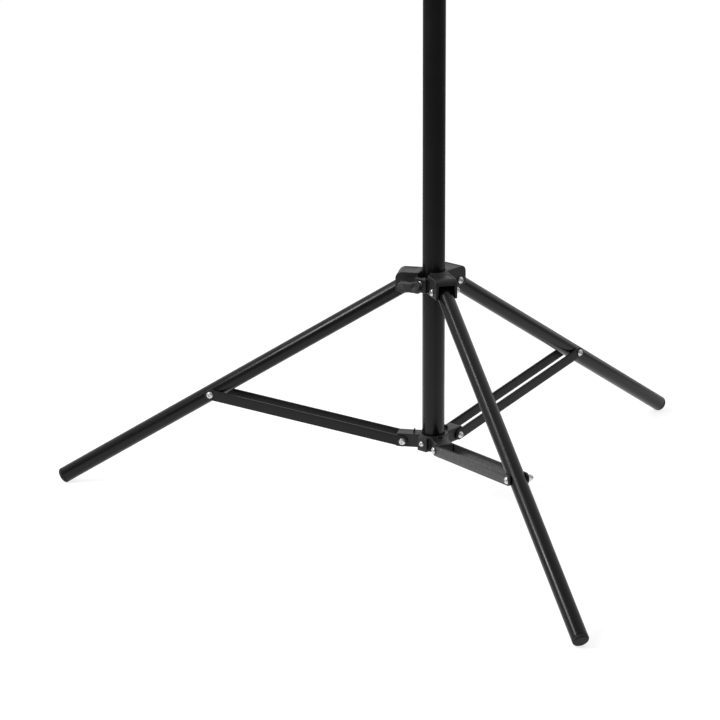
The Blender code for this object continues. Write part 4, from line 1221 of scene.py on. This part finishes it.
def sliding_plug(radius, tube_foot):
    bore = radius - TUBE_WALL - GAP
    low = tube_foot - PLUG_RIM
    high = low + SLIDING_PLUG_LENGTH
    return solid(
        [
            (radius, low, 0.8 * MM),
            (radius, tube_foot - GAP, 0.2 * MM),
            (bore, tube_foot - GAP, 0),
            (bore, high, 0.6 * MM),
            (bore - PLUG_WALL, high, 0.4 * MM),
            (bore - PLUG_WALL, tube_foot, MM),
        ]
    )


for riser, (radius, foot, top) in RISERS.items():
    body = f"{riser}_riser"
    riser_tube = tube(radius, foot, top)
    plug = sliding_plug(radius, foot)
    add_piece(f"{riser}_coated", riser_tube, mast_frame, "powder_coat", body, f"{riser}_tube")
    add_piece(f"{riser}_plug", plug, mast_frame, "moulded_nylon", body, f"{riser}_tube_plug")


# Lock collars: black nylon mouldings pressed on the top of the base tube and of the middle tube.
# A ledge inside rests on the tube's end, and the boss above it carries a clamp screw.
SLEEVE_LENGTH = 24 * MM
SLEEVE_WALL = 3.4 * MM
CLAMP_LENGTH = 22 * MM
AXIS_ABOVE_LEDGE = 12.2 * MM
GRIP_GROOVES = (5 * MM, 9 * MM, 13 * MM)
GRIP_GROOVE_DEPTH = 0.5 * MM
GRIP_GROOVE_HALF = 0.8 * MM
# Each lock collar: its tube's top, its tube's radius, the inner tube's radius and its body.
LOCKS = {
    "lower_lock": (BASE_TUBE_TOP, MAST_RADIUS, MIDDLE_RADIUS, "mast"),
    "upper_lock": (MIDDLE_TUBE_TOP, MIDDLE_RADIUS, TOP_RADIUS, "middle_riser"),
}


def lock_collar(tube_top, outer_radius, inner_radius):
    sleeve = outer_radius + GAP + SLEEVE_WALL
    clamp_outside = inner_radius + GAP + SLEEVE_WALL + MM
    ledge = tube_top + GAP
    low = tube_top - SLEEVE_LENGTH
    high = ledge + CLAMP_LENGTH
    corners = [(outer_radius + GAP, low, 0.5 * MM), (sleeve, low, 1.2 * MM)]
    for groove in GRIP_GROOVES:
        corners += [
            (sleeve, low + groove - GRIP_GROOVE_HALF, 0.3 * MM),
            (sleeve - GRIP_GROOVE_DEPTH, low + groove, 0.3 * MM),
            (sleeve, low + groove + GRIP_GROOVE_HALF, 0.3 * MM),
        ]
    corners += [
        (sleeve, ledge, 1.0 * MM),
        (clamp_outside, ledge + 2 * MM, 1.0 * MM),
        (clamp_outside, high, 1.2 * MM),
        (inner_radius + GAP, high, 0.5 * MM),
        (inner_radius + GAP, ledge, 0),
        (outer_radius + GAP, ledge, 0),
    ]
    boss, cuts = clamp_boss(inner_radius + MM, ledge + AXIS_ABOVE_LEDGE)
    return moulding([turned(corners), boss], cuts)


for lock, (tube_top, outer_radius, inner_radius, body) in LOCKS.items():
    collar = lock_collar(tube_top, outer_radius, inner_radius)
    add_piece(f"{lock}_moulded", collar, mast_frame, "moulded_nylon", body, f"{lock}_collar")


# Spigot: the turned steel stud that a lamp head fits on, nickel plated. It has a flange that rests
# on the top tube, a groove for the head's screw and a threaded tip.
SPIGOT_RADIUS = 8 * MM
SPIGOT_LENGTH = 28 * MM
SPIGOT_FLANGE_RADIUS = 11 * MM
SPIGOT_FLANGE = 4 * MM
SPIGOT_TAIL = 20 * MM
SPIGOT_GROOVE_RADIUS = 6.6 * MM
SPIGOT_GROOVE_START = 10 * MM
SPIGOT_GROOVE = 7 * MM
SPIGOT_CHAMFER = 1 * MM
TIP_RADIUS = 3.1 * MM
TIP_LENGTH = 9 * MM
TIP_CHAMFER = 0.5 * MM
TIP_PITCH = 1.2 * MM
TIP_ROOT = 1 * MM
TIP_PLAIN = 1.8 * MM

shader, place = start_material("spigot_steel", 0.22, metallic=1)
lathe_marks = {"Vector": place, "Scale": 900, "Distortion": 0.6, "Detail": 2}
rings = place.node("ShaderNodeTexWave", lathe_marks, bands_direction="Z")
bloom = speckle(place, 150, 3)
tint(shader, bloom, (0.6, 0.59, 0.57), (0.68, 0.67, 0.64))
(bloom.fade(0.3, 0.7, 0.18, 0.28) + 0.05 * rings).into(shader.inputs["Roughness"])
relief(shader, rings, 0.008 * MM)

spigot_low = TOP_TUBE_TOP + GAP
shoulder = spigot_low + SPIGOT_FLANGE
spigot_end = shoulder + SPIGOT_LENGTH
groove_low = shoulder + SPIGOT_GROOVE_START
groove_high = groove_low + SPIGOT_GROOVE
taper = SPIGOT_RADIUS - SPIGOT_GROOVE_RADIUS
tip_end = spigot_end + TIP_LENGTH
tip_inside = TIP_RADIUS - 0.5 * TIP_PITCH
spigot_tail = TOP_RADIUS - TUBE_WALL - GAP
spigot_corners = [
    (spigot_tail, spigot_low - SPIGOT_TAIL, 0.5 * MM),
    (spigot_tail, spigot_low, 0),
    (SPIGOT_FLANGE_RADIUS, spigot_low, SPIGOT_CHAMFER),
    (SPIGOT_FLANGE_RADIUS, shoulder, SPIGOT_CHAMFER),
    (SPIGOT_RADIUS, shoulder, 0.3 * MM),
    (SPIGOT_RADIUS, groove_low, 0.3 * MM),
    (SPIGOT_GROOVE_RADIUS, groove_low + taper, 0.3 * MM),
    (SPIGOT_GROOVE_RADIUS, groove_high - taper, 0.3 * MM),
    (SPIGOT_RADIUS, groove_high, 0.3 * MM),
    (SPIGOT_RADIUS, spigot_end - SPIGOT_CHAMFER, 0.15 * MM),
    (SPIGOT_RADIUS - SPIGOT_CHAMFER, spigot_end, 0.15 * MM),
    (tip_inside, spigot_end, 0.2 * MM),
    (tip_inside, tip_end - TIP_CHAMFER, 0.1 * MM),
    (tip_inside - TIP_CHAMFER, tip_end, 0.1 * MM),
]
set_copies(
    "spigot_turned",
    screw_tree,
    as_pattern("spigot_blank", solid(spigot_corners)),
    [(Vector((0, MAST_SETBACK, 0)), Vector((0, 0, 1)))],
    "spigot_steel",
    "top_riser",
    ["top_spigot"],
    0,
    thread_sizes(TIP_RADIUS, spigot_end + TIP_ROOT, TIP_LENGTH - TIP_PLAIN, TIP_PITCH),
)

for pattern in patterns:
    bpy.data.objects.remove(pattern)
